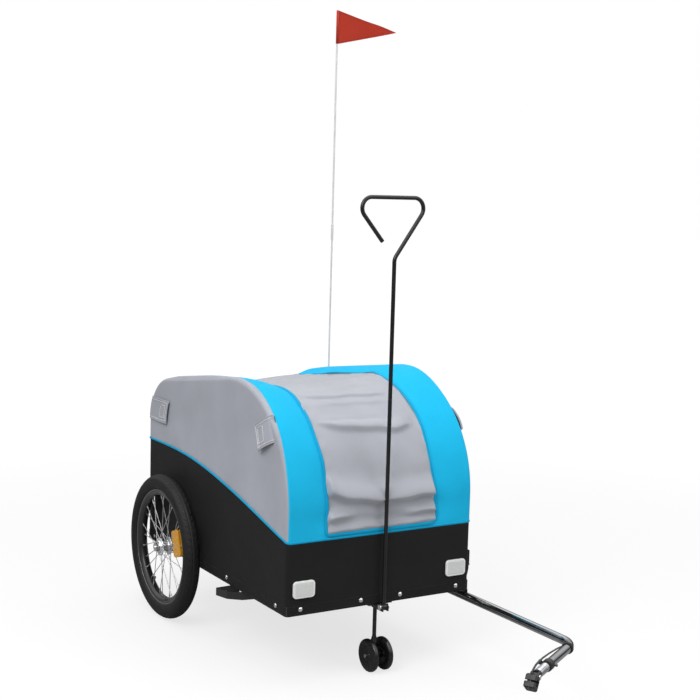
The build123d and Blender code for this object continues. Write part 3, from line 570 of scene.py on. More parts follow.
def stitches(shape, path, pitch, length, radius):
    """Lays short thread stitches along a path."""
    path = np.asarray(path, float)
    run = np.concatenate([[0], np.linalg.norm(np.diff(path, axis=0), axis=1).cumsum()])
    for start in np.arange(pitch, run[-1] - pitch, pitch):
        ends = [np.array([np.interp(q, run, path[:, k]) for k in range(3)]) for q in (start, start + length)]
        middle = (ends[0] + ends[1]) / 2
        shape.tube([ends[0], middle, ends[1]], [radius * 0.6, radius, radius * 0.6], 5)


# ---- cabin fabric ----
def fold(s, line, up, down, height):
    """One cloth fold below a line: a bulge that rises over `up` and drops away over `down`."""
    t = s - line
    return height * np.where(t > 0, np.exp(-((t / up) ** 2)), np.exp(-((t / down) ** 2)))


def window(x, centre, reach, blur=0.5):
    """1 near centre, falling smoothly to 0 at centre +- reach."""
    return smooth((reach - np.abs(x - centre)) / (reach * blur))


def cover_relief(s, x, half):
    """Height of the loose grey cover above its mean surface."""
    q = x / 150.0
    ripple = 1.8 * np.sin(x / 31 + s / 80) + 1.2 * np.sin(x / 13.5 + s / 37)
    t = s + ripple
    crest = between(s, 470, 140, 930, 130)
    h = -1.5 - 7.0 * crest * (1 - q**2 * 0.5)
    h = h + fold(t, 419 + 25 * q**4, 22, 5, 5.5) * window(x, -25, 150, 0.4)
    h = h + fold(t, 390 + 6 * q**2, 14, 8, 3.0) * window(x, -10, 130)
    dip = 9 * np.exp(-(((x - 66) / 34) ** 2))
    h = h + fold(t, 303 - 11 * q + 18 * q**2 - dip, 26, 10, 11.0) * window(x, -5, 152, 0.35)
    h = h + fold(t, 328 - 6 * q, 9, 9, -3.0) * window(x, -45, 110)
    h = h + fold(t, 180 + 5 * q, 55, 30, 4.0) * window(x, 110, 130)
    left = np.clip(-q, 0, None)
    h = h + fold(t, 114 - 5 * q + 8 * q**2 + 14 * left**4, 36, 11, 25.0)
    h = h + fold(t, 82 + 3 * q, 14, 12, 4.0) * window(x, 10, 110)
    h = h + fold(t, 79, 13, 9, 17.0) * window(x, -155, 98, 0.8)
    h = h + fold(t, 69 + 4 * q, 13, 9, 17.0) * window(x, 145, 110, 0.8)
    h = h + fold(t, 46, 9, 8, 7.0)
    for k, at in enumerate((545, 640, 720, 800, 880)):
        h = h + fold(t, at + (7 * k - 10) * q**2, 28, 20, 1.8 + 0.6 * (k % 2))
    pucker = 0.7 * np.sin(s / 7.5 + np.sign(x)) * smooth((np.abs(x) - half + 34) / 30)
    h = h + 0.5 * np.sin(s / 13 + x / 37) * np.sin(x / 29) + pucker
    return h * smooth((half - np.abs(x)) / 10)


def rear_relief(s, x, half):
    """Height of the tighter rear panel."""
    t = s + 5 * np.sin(x / 50)
    q = x / 150.0
    h = -1.5 + fold(t, S_REAR - 60 + 18 * q**2, 26, 10, 5.0)
    h = h + fold(t, S_REAR - 130 + 22 * q**2 - 8 * q, 30, 14, 4.0)
    h = h + 2.0 * np.sin(s / 34 + x / 60)
    return h * smooth((half - np.abs(x)) / 30)


def cover_sheet(s_low, s_high, hem_low, hem_high, relief):
    """A sheet with rounded hem corners between the bands; relief gives its folds."""
    rows = np.linspace(s_low, s_high, int((s_high - s_low) / 2.6))
    points, uv = [], []
    for s in rows:
        half = [float(cover_half(s))] * 2
        for end, hem, distance in ((-1, hem_low, s - s_low), (1, hem_high, s_high - s)):
            for k in range(2):
                r = corner_radius(2 * k - 1, end)
                if hem and distance < r:
                    half[k] -= r - math.sqrt(r**2 - (r - distance) ** 2)
        x = np.linspace(-half[0], half[1], 96)
        ends = between(s, s_low, 8, s_high, 14)
        points.append(roof(s, x, relief(s, x, float(cover_half(s))) * ends + 0.4))
        uv.append(np.stack([x, np.full_like(x, s)], 1))
    return Shape().grid(points, uv=uv)


def skirt_loop(step=11.0):
    """Points (x, y) round the skirt with small corner rolls, and their outward normals."""
    points, normals = [], []
    corners = ((1, -1), (1, 1), (-1, 1), (-1, -1))
    for k, (cx, cy) in enumerate(corners):
        centre = np.array((cx * EDGE_X, (REAR_Y - EDGE_R) if cy > 0 else (FRONT_Y + EDGE_R)))
        first = -math.pi / 2 + k * math.pi / 2
        for a in np.linspace(first, first + math.pi / 2, 7):
            n = np.array((math.cos(a), math.sin(a)))
            points.append(centre + EDGE_R * n)
            normals.append(n)
        nx, ny = corners[(k + 1) % 4]
        after = np.array((nx * EDGE_X, (REAR_Y - EDGE_R) if ny > 0 else (FRONT_Y + EDGE_R)))
        n = normals[-1]
        start, stop = points[-1], after + EDGE_R * n
        count = int(np.linalg.norm(stop - start) / step)
        for t in np.linspace(0, 1, count)[1:-1]:
            points.append(start + (stop - start) * t)
            normals.append(n)
    return np.array(points), np.array(normals)


HEM_TOP = 204.0
HEM_STITCHES = (201.5, 181.5)


def black_skirt():
    """Tub of black fabric, pulled to the rails by bolts, with a folded hem."""
    loop, normal = skirt_loop()
    top = seam_z(loop[:, 1])
    v = np.concatenate([np.linspace(0, 0.12, 7)[:-1], np.linspace(0.12, 1, 17)])
    z = SKIRT_BOTTOM + (top - SKIRT_BOTTOM)[:, None] * v[None]
    x, y = loop[:, :1], loop[:, 1:]
    on_side = (np.abs(normal[:, :1]) > 0.99) * between(y, FRONT_Y, 120, REAR_Y, 120)
    on_end = (np.abs(normal[:, 1:]) > 0.99) * smooth((HALF_W - np.abs(x)) / 120)
    height = np.sin(math.pi * np.clip(v, 0, 1))[None]
    dish = -(3.2 * on_side + 1.6 * on_end) * height
    ripple = 0.5 * np.sin(x / 37 + y / 41 + z / 60) + 0.35 * np.sin(x / 17 + y / 23 - z / 33)
    scallop = -0.8 * np.cos((x + y) / 20) * np.exp(-((z - SKIRT_BOTTOM) / 14) ** 2)
    hem = 0.5 * smooth((HEM_TOP - z) / 2.0)
    out = dish + (ripple + scallop) * (on_side + on_end) * height + hem - 0.6
    points = np.stack([x + normal[:, :1] * out, y + normal[:, 1:] * out, z], -1)
    Shape().grid(points, True).make("skirt", "black_cloth", "black_fabric", ["cover_skirt"], 1.6)
    thread = Shape()
    for level in HEM_STITCHES:
        stitches(thread, np.column_stack([loop + normal * 0.1, top * 0 + level]), 5.2, 3.6, 0.35)
    thread.make("skirt_stitching", "black_thread", "black_fabric")


def side_panel(side, name):
    """Flat grey side, rolled over the hoop at its upper edge."""
    s = np.concatenate([np.linspace(S_FRONT + 1.5, 100, 14)[:-1], np.linspace(100, S_REAR - 1.5, 190)])
    y, z, ny, nz = outline(s)
    top = np.stack([y - ny * SEAM_IN, z - nz * SEAM_IN], -1)
    share = (s - s[0]) / (s[-1] - s[0])
    spread = 0.25 * share + 0.75 * smooth(share)
    base_y = FRONT_Y + SEAM_IN + 0.5 + (REAR_Y - FRONT_Y - 2 * SEAM_IN - 1) * spread
    base = np.stack([base_y, seam_z(base_y)], -1)
    v = 1 - np.concatenate([np.linspace(0, 0.06, 7)[:-1], 0.06 + 0.94 * np.linspace(0, 1, 30)])
    yz = base[:, None] + (top - base)[:, None] * v[None, :, None]
    edge = np.full(yz.shape[:2], 1e9)
    for _, at_y, at_z, out_y, out_z in OUTLINE[::6]:
        away = (at_y - yz[..., 0]) * out_y + (at_z - yz[..., 1]) * out_z
        edge = np.minimum(edge, np.where(away > -1, away, 1e9))
    roll = np.clip(1 - edge / EDGE_R, 0, 1)
    x = EDGE_X + EDGE_R * np.sqrt(np.clip(1 - roll**2, 0, 1))
    above = yz[..., 1] - seam_z(yz[..., 0])
    dish = smooth((edge - 8) / 110) * smooth(above / 90)
    waves = 0.8 * np.sin(yz[..., 0] / 61 + side) * np.sin(yz[..., 1] / 49)
    pull = 1.2 * np.sin((yz[..., 0] * 0.5 + yz[..., 1]) / 26 + side) * smooth((edge - 10) / 60)
    x = x - (4.5 + waves + 0.5 * pull) * dish
    points = np.concatenate([side * x[..., None], yz], -1)
    start_x = HALF_W - SEAM_IN
    wrap = start_x - (start_x - side_seam(s, side))[:, None] * np.linspace(0, 1, 8)[None]
    over = roof(s[:, None], side * wrap, band_waves(s[:, None], side * wrap))
    points = np.concatenate([over[:, :0:-1], points], 1)
    run = 0.7 * np.linspace(-16, 0, 8)[:-1][None, :, None]
    uv = np.concatenate([yz[:, :1] - run, yz], 1)
    shape = Shape().grid(points, uv=uv)
    node = f"side_panel_{name}"
    shape.make(f"side_cloth_{name}", "side", "side_fabric", [node], FABRIC)


def blue_bands():
    """Blue bands round the grey cover, from its edge out to the side seams and down to the skirt."""
    inner, outer = hem_loop(-3.0)
    v = np.concatenate([np.linspace(0, 0.86, 15), np.linspace(0.9, 1, 7)])
    flat = inner[:, None] + (outer - inner)[:, None] * v[None, :, None]
    s, x = flat[..., 0], flat[..., 1]
    under = -1.6 * (1 - smooth(v / 0.08))[None]
    points = roof(s, x, band_waves(s, x) + under)
    shape = Shape().grid(points, True, uv=flat)
    shape.make("blue_roof_cloth", "blue", "blue_fabric", ["roof_bands"], FABRIC)


def cover_edges():
    """Binding round the cover, stitching beside it, and the cord along the skirt seam."""
    edge, _ = hem_loop(0.0)
    path = roof(edge[:, 0], edge[:, 1], band_waves(edge[:, 0], edge[:, 1]) + 1.6)
    binding = Shape().tube(path, BINDING_R, 12, True, 0.42)
    binding.make("cover_binding", "cord", "blue_fabric")
    thread = Shape()
    line, _ = hem_loop(8.5)
    lift = band_waves(line[:, 0], line[:, 1]) + 0.35
    stitches(thread, roof(line[:, 0], line[:, 1], lift), 4.4, 3.0, 0.3)
    thread.make("binding_stitching", "cord", "blue_fabric")
    loop, normal = skirt_loop(8.0)
    proud = -0.9 - 0.8 * (loop[:, 0] > 0)
    cord = np.column_stack([loop + normal * proud[:, None], seam_z(loop[:, 1])])
    Shape().tube(cord, CORD_R, 12, True).make("skirt_cord", "cord", "blue_fabric")
    joint = Shape()
    x = np.linspace(-float(cover_half(S_COVER_END)), float(cover_half(S_COVER_END)), 60)
    joint.tube(roof(np.full_like(x, S_COVER_END), x, 0.2), BINDING_R, 10, flat=0.3)
    joint.make("rear_panel_binding", "side", "side_fabric")
    stub = Shape()
    ends = np.linspace(S_FRONT + 1.5, S_HEM_FRONT, 5)
    stub.tube(roof(ends, -148 + 0 * ends, 0.3), 0.7, 6)
    stub.make("front_strip_seam", "black_thread", "blue_fabric")


def rear_wrap(reach, z, lift):
    """x and y at a distance from the rear corner roll: forwards along the side, or round onto the rear."""
    arc_y, arc_z, arc_r = REAR_ARC
    back = arc_y + np.sqrt(arc_r**2 - np.clip(z - arc_z, 0, arc_r) ** 2)
    turn = np.clip(-reach / EDGE_R, 0, math.pi / 2)
    behind = np.clip(-reach - EDGE_R * math.pi / 2, 0, None)
    r = EDGE_R + lift
    x = EDGE_X + r * np.cos(turn) - behind
    y = back - EDGE_R + r * np.sin(turn) - np.clip(reach, 0, None)
    return x, y


class Tab:
    """A sewn closing tab on a side panel, from root to tip in y and z. u runs along it and w across it."""

    def __init__(self, side, root, tip, width, rise, curl, wraps=False):
        self.side = side
        self.root = np.array(root, float)
        self.along = np.array(tip, float) - self.root
        self.length = np.linalg.norm(self.along)
        self.along = self.along / self.length
        self.across = np.array((-self.along[1], self.along[0]))
        self.width, self.rise, self.curl, self.wraps = width, rise, curl, wraps

    def place(self, u, w, lift=0.0):
        u, w = np.asarray(u, float), np.asarray(w, float)
        t = np.clip(u / self.length, 0, 1)
        out = -4.5 + 6.6 * smooth(t / 0.2) + lift
        out = out + self.rise * np.sin(t * math.pi * 0.8) * (1 + self.curl * w / self.width)
        if self.wraps:
            x, y = rear_wrap(u - self.root[0], self.root[1] + w, out - 0.5)
            return np.stack([self.side * x, y, self.root[1] + w], -1)
        yz = self.root + u[..., None] * self.along + w[..., None] * self.across
        return np.concatenate([self.side * (HALF_W - 2.5 + out)[..., None], yz], -1)

    def sheet(self, shape, lift, trim=0.0):
        u = np.linspace(0, self.length - trim, 30)
        w = np.linspace(trim - self.width / 2, self.width / 2 - trim, 18)
        shape.grid(self.place(*np.meshgrid(u, w, indexing="ij"), lift))

    def rectangle(self, start, end, half, close):
        """Points round a rectangle on the tab."""
        corners = [(start, half), (end, half), (end, -half), (start, -half)] + [(start, half)] * close
        line = [np.linspace(p, q, 14) for p, q in zip(np.array(corners), np.array(corners[1:]))]
        return np.concatenate(line)

    def sew(self, thread, edging):
        line = self.rectangle(0, self.length, self.width / 2, False)
        edging.tube(self.place(line[:, 0], line[:, 1], 0.0), 1.5, 8)
        line = self.rectangle(2, self.length - 5.5, self.width / 2 - 5.5, False)
        stitches(thread, self.place(line[:, 0], line[:, 1], 0.8), 5.0, 4.2, 1.05)
        line = self.rectangle(self.length - 42, self.length - 15, self.width / 2 - 14, True)
        stitches(thread, self.place(line[:, 0], line[:, 1], 0.8), 5.0, 4.2, 1.05)


def closing_tabs():
    """Two tabs on each side: one wrapped round from the rear, one hanging from the band seam."""
    cloth, thread, edging, dark_lining = Shape(), Shape(), Shape(), Shape()
    for flap in (
        Tab(-1, (28, 566), (167, 566), width=64, rise=2.0, curl=0.1, wraps=True),
        Tab(1, (28, 566), (130, 566), width=64, rise=2.0, curl=0.1, wraps=True),
        Tab(-1, (-555, 623), (-480, 586), width=66, rise=8.0, curl=-0.9),
        Tab(1, (-509, 623), (-558, 569), width=62, rise=6.5, curl=-1.0),
    ):
        flap.sheet(cloth, 0.0)
        # Black sheet just under each tab: painted shade that darkens the tab's underside and the gap where it
        # lifts.
        flap.sheet(dark_lining, -2.0, 3.0)
        flap.sew(thread, edging)
    cloth.make("closing_tabs", "side", "side_fabric", ["side_tabs"], 1.5)
    dark_lining.make("tab_lining_painted_shade", "black_cloth", "black_fabric", (), 1.0)
    edging.make("tab_edging", "edging", "side_fabric")
    thread.make("tab_stitching", "thread", "side_fabric")


def cabin():
    black_skirt()
    for side, name in SIDES:
        side_panel(side, name)
    blue_bands()
    cover_edges()
    cover_sheet(S_HEM_FRONT, S_COVER_END, True, False, cover_relief).make(
        "grey_cover", "cover", "cover_fabric", ["centre_cover"], FABRIC
    )
    cover_sheet(S_COVER_END, S_HEM_REAR, False, True, rear_relief).make(
        "grey_rear_panel", "side", "side_fabric", ["rear_panel"], FABRIC
    )
    closing_tabs()


# ---- wheels ----
TYRE_R = 23.5  # radius of the tyre's own round section
TREAD_BLOCKS = 66
SPOKES = 28
FLANGE_X = 14.6  # outer face of a hub flange
SPOKE_HOLE_R = 21.3
RIM_LIP = (13.4, 158.4)  # middle of a rim lip: sideways and from the axle
REFLECTOR_R = 95.0  # distance of the spoke reflector from the axle
SKIRT_REFLECTOR_X = 224.0
SKIRT_REFLECTOR_Z = 242.0
CASTER_CENTRE = (21.0, -622.0, 41.5)  # of the left caster wheel
RIM_PROFILE = [
    (-13.5, 157), (-13.3, 159.6), (-12.4, 160.2), (-11.4, 159.4), (-11, 154), (11, 154), (11.4, 159.4),
    (12.4, 160.2), (13.3, 159.6), (13.5, 157), (13.5, 151), (12.7, 149.4), (7.5, 144), (6, 143.1),
    (-6, 143.1), (-7.5, 144), (-12.7, 149.4), (-13.5, 151),
]
HUB_PROFILE = [
    (19.8, 14.4), (19.8, 16.4), (19.0, 17.4), (15.4, 17.6), (14.9, 18.4), (14.6, 23.9), (14.0, 25.0),
    (12.0, 25.0), (11.4, 24.0), (10.6, 18.0), (9.2, 15.4), (6.0, 14.2), (0.0, 13.8),
]


def tyre(name, mid):
    """Tyre with a centre rib, two grooves, slanted shoulder blocks and fine sidewall ribs."""
    phi = np.radians(np.linspace(-145, 145, 88))
    steps = TREAD_BLOCKS * 10
    turn = np.arange(steps) * 2 * math.pi / steps
    degrees = np.degrees(phi)[None]
    across = np.abs(degrees)
    block = (turn[:, None] * TREAD_BLOCKS / (2 * math.pi) + across / 42) % 1.0
    gap = smooth((0.16 - np.abs(block - 0.5)) / 0.06) * smooth((across - 15) / 3)
    gap = gap * smooth((43 - across) / 5)
    ring = smooth((3.2 - np.abs(across - 13)) / 1.2)
    sipe = smooth((0.09 - np.abs((block * 2) % 1 - 0.5)) / 0.04) * smooth((10 - across) / 3) * 0.5
    tread = smooth((66 - across) / 5)
    deep = 1.3 * tread * np.clip(gap + ring + sipe, 0, 1) + 0.9 * (1 - tread)
    ribs = sum(0.45 * smooth((2.0 - np.abs(across - at)) / 1.5) for at in (78, 100, 104, 128))
    r = TYRE_R - deep + ribs * (1 - tread)
    radial = WHEEL_R - TYRE_R + r * np.cos(phi)[None]
    x = mid[0] + r * np.sin(phi)[None] + 0 * radial
    points = np.stack([x, radial * np.cos(turn)[:, None], WHEEL_R + radial * np.sin(turn)[:, None]], -1)
    shape = Shape().grid(points, True)
    shape.make(f"tread_tyre_{name}", "tyre", "tyre", [f"{name}_tyre"], 1.2, f"{name}_wheel", mid)


def hub(name, mid):
    """Two-flange hub with end collars and the spokes' heads."""
    shape = Shape().lathe(mirrored(HUB_PROFILE), mid, (1, 0, 0), 96)
    dome = [(0.0, 1.9), (0.7, 1.7), (1.2, 1.0), (1.4, 0.05)]
    for k in range(SPOKES):
        angle = 2 * math.pi * (k + 0.5) / SPOKES
        out = 1 if k % 2 else -1
        y, z = SPOKE_HOLE_R * math.cos(angle), SPOKE_HOLE_R * math.sin(angle)
        spot = np.array(mid) + (out * FLANGE_X, y, z)
        shape.lathe(dome, spot, (out, 0, 0), 14)
    shape.make(f"flanged_hub_{name}", "hub", "hub_silver", [f"{name}_hub"], body=f"{name}_wheel")


def lens_plate(plate, lens, centre, along, up, out, size, deep, pitch):
    """Rounded plate with a ribbed lens on its outer face; size is its half width and half height."""
    corner = 9.0
    along, up, out = np.array(along, float), np.array(up, float), np.array(out, float)
    rings = []
    steps = ((0, 0.6), (0.5, 0), (deep - 1.4, 0), (deep - 0.4, 0.5), (deep, 1.6), (deep - 0.2, 3.2))
    for height, inset in steps:
        ring = []
        for k, (su, sv) in enumerate(((1, 1), (-1, 1), (-1, -1), (1, -1))):
            for a in np.linspace(0, math.pi / 2, 7) + k * math.pi / 2:
                u = su * (size[0] - corner) + (corner - inset) * math.cos(a)
                v = sv * (size[1] - corner) + (corner - inset) * math.sin(a)
                ring.append(centre + u * along + v * up + height * out)
        rings.append(ring)
    plate.grid(rings, False, True, cap=True)
    half_u, half_v = size[0] - 3.0, size[1] - 3.0
    uu, vv = np.meshgrid(np.linspace(-1, 1, 90), np.linspace(-1, 1, 110), indexing="ij")
    squeeze = np.sqrt(np.clip(1 - 0.12 * uu**4 * vv**4, 0.5, 1))
    du, dv = uu * half_u * squeeze, vv * half_v * squeeze
    rib = np.abs(((du / pitch) % 1) - 0.5) + np.abs(((dv / pitch) % 1) - 0.5)
    edge = smooth((1 - np.abs(uu)) / 0.12) * smooth((1 - np.abs(vv)) / 0.12)
    height = deep - 0.8 + (0.7 + 0.22 * pitch * rib) * edge
    lens.grid(centre + du[..., None] * along + dv[..., None] * up + height[..., None] * out)


def spoke_reflector(name, mid):
    """Amber reflector between the spokes, with a ribbed lens on both faces."""
    turn = math.radians(18)
    radial = np.array((0, -math.cos(turn), math.sin(turn)))
    tangent = np.array((0, math.sin(turn), math.cos(turn)))
    centre = np.array(mid) + REFLECTOR_R * radial
    plate, lens = Shape(), Shape()
    for face in (-1, 1):
        lens_plate(plate, lens, centre, radial, tangent, (face, 0, 0), (22, 36.5), 7.2, 6.0)
    node = f"{name}_spoke_reflector"
    plate.make(f"reflector_housing_{name}", "amber", "amber_plastic", [node], body=f"{name}_wheel")
    lens.make(f"reflector_lens_{name}", "amber_lens", "amber_plastic", body=f"{name}_wheel")


def skirt_reflectors():
    """White reflectors on the front of the skirt and red ones on its rear."""
    for name, y, out, colour in (("front", FRONT_Y, -1, "white"), ("rear", REAR_Y, 1, "red")):
        plate, lens = Shape(), Shape()
        for x in (-SKIRT_REFLECTOR_X, SKIRT_REFLECTOR_X):
            centre = np.array((x, y + out * 0.2, SKIRT_REFLECTOR_Z))
            lens_plate(plate, lens, centre, (1, 0, 0), (0, 0, 1), (0, out, 0), (30, 21), 5.6, 3.4)
        slot = f"{colour}_plastic"
        plate.make(f"{name}_reflector_rims", f"{colour}_rim", slot, [f"{name}_reflectors"])
        lens.make(f"{name}_reflector_lenses", f"{colour}_lens", slot)


def rim(name, mid):
    """Black alloy rim, with a pale metal ring along each lip as a painted highlight."""
    shape = Shape().lathe(RIM_PROFILE, mid, (1, 0, 0), 240, True)
    shape.make(f"alloy_rim_{name}", "rim", "rim_black", [f"{name}_rim"], body=f"{name}_wheel")
    # Pale metal ring along each lip: painted highlight where the lip catches the light.
    lip_rings = Shape()
    for out in (-1, 1):
        turn = np.arange(0, 6.2, 0.7)
        circle = np.column_stack([out * RIM_LIP[0] + 0.5 * np.cos(turn), RIM_LIP[1] + 1.1 * np.sin(turn)])
        lip_rings.lathe(circle, mid, (1, 0, 0), 240, True)
    lip_rings.make(f"lip_highlight_ring_{name}", "rim_lip_shine", "rim_black", body=f"{name}_wheel")


def wheels():
    for side, name in SIDES:
        mid = (side * WHEEL_X, 0.0, WHEEL_R)
        for piece in (tyre, hub, spoke_reflector, rim):
            piece(name, mid)


def caster_wheels():
    """Black wheels with a domed face, a raised hub ring and a rounded tread."""
    half_profile = [
        (9.0, 3.1), (9.0, 8.6), (8.3, 9.6), (7.9, 12.5), (8.2, 14.5), (9.0, 15.6), (9.0, 27.0), (8.6, 31.0),
        (7.6, 34.5), (6.2, 38.0), (4.6, 40.2), (2.6, 41.3), (0.0, 41.5),
    ]
    for side, name in SIDES:
        centre = np.array(CASTER_CENTRE) * (side, 1, 1)
        shape = Shape().lathe(mirrored(half_profile), centre, (1, 0, 0), 128, True)
        node = f"caster_wheel_{name}"
        shape.make(f"domed_{node}", "plastic", "black_plastic", [node], body=f"caster_{name}")


# ---- flag, sleeve and pocket ----
POLE_X = 275.0
POLE_Y = 90.0
SLEEVE_LOW = 425.0
SLEEVE_HEM = 550.0


def pennant():
    """Nylon pennant: a hem round the pole and a gently waving triangle with sewn edges."""
    top, tall, reach = 1720.0, 95.0, 207.0
    cloth, thread = Shape(), Shape()
    hem = [(0, 2.6), (0, 3.7), (tall, 3.7), (tall, 2.6)]
    cloth.lathe(hem, (POLE_X, POLE_Y, top - tall), (0, 0, 1), 28, True)

    def place(u, v, lift=0.0):
        """Point on the cloth; u runs from the pole to the tip and v from edge to edge."""
        x = POLE_X + 2.6 + u * (reach - 2.6)
        z = top - tall / 2 + v * tall / 2 * (1 - u) - 3 * u**2 * (1 - u)
        y = POLE_Y + 0.3 + u * (5.5 * np.sin(6.2 * u + 0.9 * v * (1 - u)) + 2.0 * np.sin(13 * u + 2)) + lift
        return np.stack([x, y, z], -1)

    u, v = np.meshgrid(np.linspace(0, 0.995, 90), np.linspace(-1, 1, 40), indexing="ij")
    for lift in (0.5, -0.5):
        cloth.grid(place(u, v, lift))
    for edge in (-1, 1):
        run = np.linspace(0, 0.995, 120)
        cloth.tube(place(run, np.full(120, float(edge))), 0.9, 10)
        for lift in (0.7, -0.7):
            inset = np.clip(1 - 5.0 / (tall / 2 * (1.02 - run[:108])), 0, 1)
            stitches(thread, place(run[:108], edge * inset, lift), 4.6, 3.6, 0.5)
    cloth.make("pennant_cloth", "flag", "flag_fabric", ["flag"], body="flag")
    thread.make("pennant_stitching", "flag", "flag_fabric", body="flag")


def sleeve():
    """Cloth sleeve sewn to the left side, with a flat seam on each edge and a hemmed mouth."""
    section = mirrored([(10.0, 0.3), (8.6, 0.9), (6.6, 1.1), (5.4, 3.0), (4.6, 5.6), (3.0, 7.8), (0.0, 8.9)])
    foot = np.linspace(SLEEVE_LOW, SLEEVE_LOW + 8, 8)
    mouth = SLEEVE_HEM + np.array((1, 2, 6, 10))
    heights = np.concatenate([foot, np.linspace(SLEEVE_LOW + 11, SLEEVE_HEM, 36), mouth])
    rows = []
    for z in heights:
        swell = 0.12 + 0.88 * smooth((z - SLEEVE_LOW) / 8)
        hem = 0.6 * smooth((z - SLEEVE_HEM) / 1.5)
        crease = 0.25 * math.sin(z / 7.0) + 0.2 * math.sin(z / 3.1)
        out = [HALF_W + 0.2 + x * swell + (hem + crease * (x > 2)) for _, x in section]
        rows.append([(x, POLE_Y + y, z) for x, (y, _) in zip(out, section)])
    Shape().grid(rows).make("pole_sleeve", "webbing", "black_fabric", ["flag_sleeve"], 0.8)
    thread = Shape()
    for y in (-8.2, 8.2):
        seam = [(HALF_W + 1.7, POLE_Y + y, z) for z in np.linspace(SLEEVE_LOW + 9, SLEEVE_HEM + 6, 60)]
        stitches(thread, seam, 5.0, 3.9, 0.5)
    thread.make("sleeve_stitching", "black_thread", "black_fabric")


def pocket():
    """Small bellows pocket low on the left side, with a bound flap."""
    y0, y1, z0, z1 = -618.0, -500.0, 178.0, 277.0
    flap_z = 236.0

    def face(y, z, lift=0.0):
        """Outer surface of the pocket at y, z."""
        across = np.minimum(y - y0, y1 - y)
        low, high = z - z0, z1 - z
        swell = np.clip(across / 5, 0, 1) * np.clip(low / 9, 0, 1) * np.clip(high / 5, 0, 1)
        swell = np.sqrt(np.clip(swell * (2 - swell), 0, 1))
        depth = 7 + 10 * smooth((low - 4) / 50)
        crease = 0.7 * np.sin(y / 11 + z / 23) + 0.5 * np.sin(z / 8 - y / 19)
        out = swell * (depth + crease * np.clip(across / 20, 0, 1)) + lift
        return np.stack([HALF_W + 0.2 + out, y, z], -1)

    y, z = np.meshgrid(np.linspace(y0, y1, 70), np.linspace(z0, z1, 60), indexing="ij")
    shape, flap, thread, binding = Shape(), Shape(), Shape(), Shape()
    shape.grid(face(y, z))
    shape.make("side_pocket", "black_cloth", "black_fabric", ["parts_pocket"], 1.2)
    y, z = np.meshgrid(np.linspace(y0 - 1.0, y1 + 1.0, 60), np.linspace(flap_z, z1 + 1.5, 28), indexing="ij")
    cover = face(np.clip(y, y0, y1), np.clip(z, z0, z1), 1.5)
    cover[..., 1], cover[..., 2] = y, z
    flap.grid(cover)
    flap.make("pocket_flap", "black_cloth", "black_fabric", (), 1.2)
    binding.tube(cover[:, 0], 1.5, 10)
    binding.make("pocket_flap_binding", "webbing", "black_fabric")
    stitches(thread, cover[3:-3, 4] + np.array((0.3, 0, 0)), 5.0, 3.9, 0.5)
    thread.make("pocket_stitching", "black_thread", "black_fabric")


# ---- hitch ----
SPRING_START = 181.0  # distances along the tow arm's front leg
SPRING_END = 232.8
SPRING_TURNS = 8
SPRING_R = 8.6
ARM_CORNER = np.array((257.0, -1049.0, 163.0))
LEG_TURN = math.radians(30.0)
LEG_AHEAD = np.array((-math.cos(LEG_TURN), -math.sin(LEG_TURN), 0.0))
LEG_BACK = np.array((-math.sin(LEG_TURN), math.cos(LEG_TURN), 0.0))


def leg(along, up=0.0, back=0.0):
    """A point by its distance along the tow arm's front leg, above it and behind it."""
    return ARM_CORNER + along * LEG_AHEAD + np.array((0, 0, up)) + back * LEG_BACK


def bend_with_hitch(piece):
    """Bakes the piece's placement into its mesh; the piece stays on no body and does not bend."""
    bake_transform(piece)


def safety_strap():
    """Thin safety strap: a loop round the tube near the bend, then an arch along the leg to the clevis."""
    shape = Shape()
    turn = np.linspace(0, 2 * math.pi, 40)[:-1]
    for at in (32, 37):
        loop = [leg(at, 12.2 * math.sin(a), 12.2 * math.cos(a)) for a in turn]
        shape.tube(loop, 1.6, 10, True)
    up = (2, 4, 6, 8, 7, 4, 1)
    back = (12.5, 15, 17, 18, 17, 13, 10.5)
    knots = np.array([leg(*spot) for spot in zip((34, 60, 100, 150, 195, 225, 240), up, back)])
    t = np.linspace(0, 1, len(knots))
    fine = np.linspace(0, 1, 60)
    path = np.stack([np.interp(fine, t, knots[:, k]) for k in range(3)], -1)
    for _ in range(12):
        path[1:-1] = (path[:-2] + 2 * path[1:-1] + path[2:]) / 4
    shape.tube(path, 2.6, 12, flat=0.55)
    strap = shape.make("safety_strap_band", "webbing", "black_fabric", ["safety_strap"], body=None)
    bend_with_hitch(strap)


def coupling_spring():
    """Coil spring between the tow arm and the clevis, with closed end turns."""
    t = np.linspace(0, 1, 340)
    spread = 0.75 * t + 0.25 * (0.5 - 0.5 * np.cos(math.pi * t))
    height = SPRING_START + 2.0 + (SPRING_END - SPRING_START - 4.0) * spread
    angle = 2 * math.pi * SPRING_TURNS * t
    path = [leg(a, SPRING_R * math.sin(b), SPRING_R * math.cos(b)) for a, b in zip(height, angle)]
    shape = Shape().tube(path, 1.95, 14)
    spring = shape.make("coiled_coupling_spring", "spring", "steel", ["coupling_spring"], body=None)
    bend_with_hitch(spring)


# ---- carried-over CAD parts ----
CAD_PAINT = {
    "paint": "base_frame stow_hook tow_arm_brackets front_bracket hitch_retaining_pin",
    "board": "floor_board",
    "steel": "side_hoops hoop_snap_buttons spreader_bars frame_screws tow_arm_pivot_bolt caster_axle"
    " coupling_plug hitch_rivet skirt_bolts left_bearings right_bearings left_axle right_axle",
    "chrome": "handle_pivot_bolt handle_snap_button left_release_button right_release_button",
    "rod": "caster_stem handle_lower_rod handle_grip_rod",
    "tow": "tow_arm",
    "dark_plastic": "arm_end_collar",
    "clamp": "hitch_clevis hitch_clamp clamp_screw",
    "pole": "flag_pole",
    "tyre": "left_inner_tube right_inner_tube",
    "spoke": "left_spokes right_spokes",
}


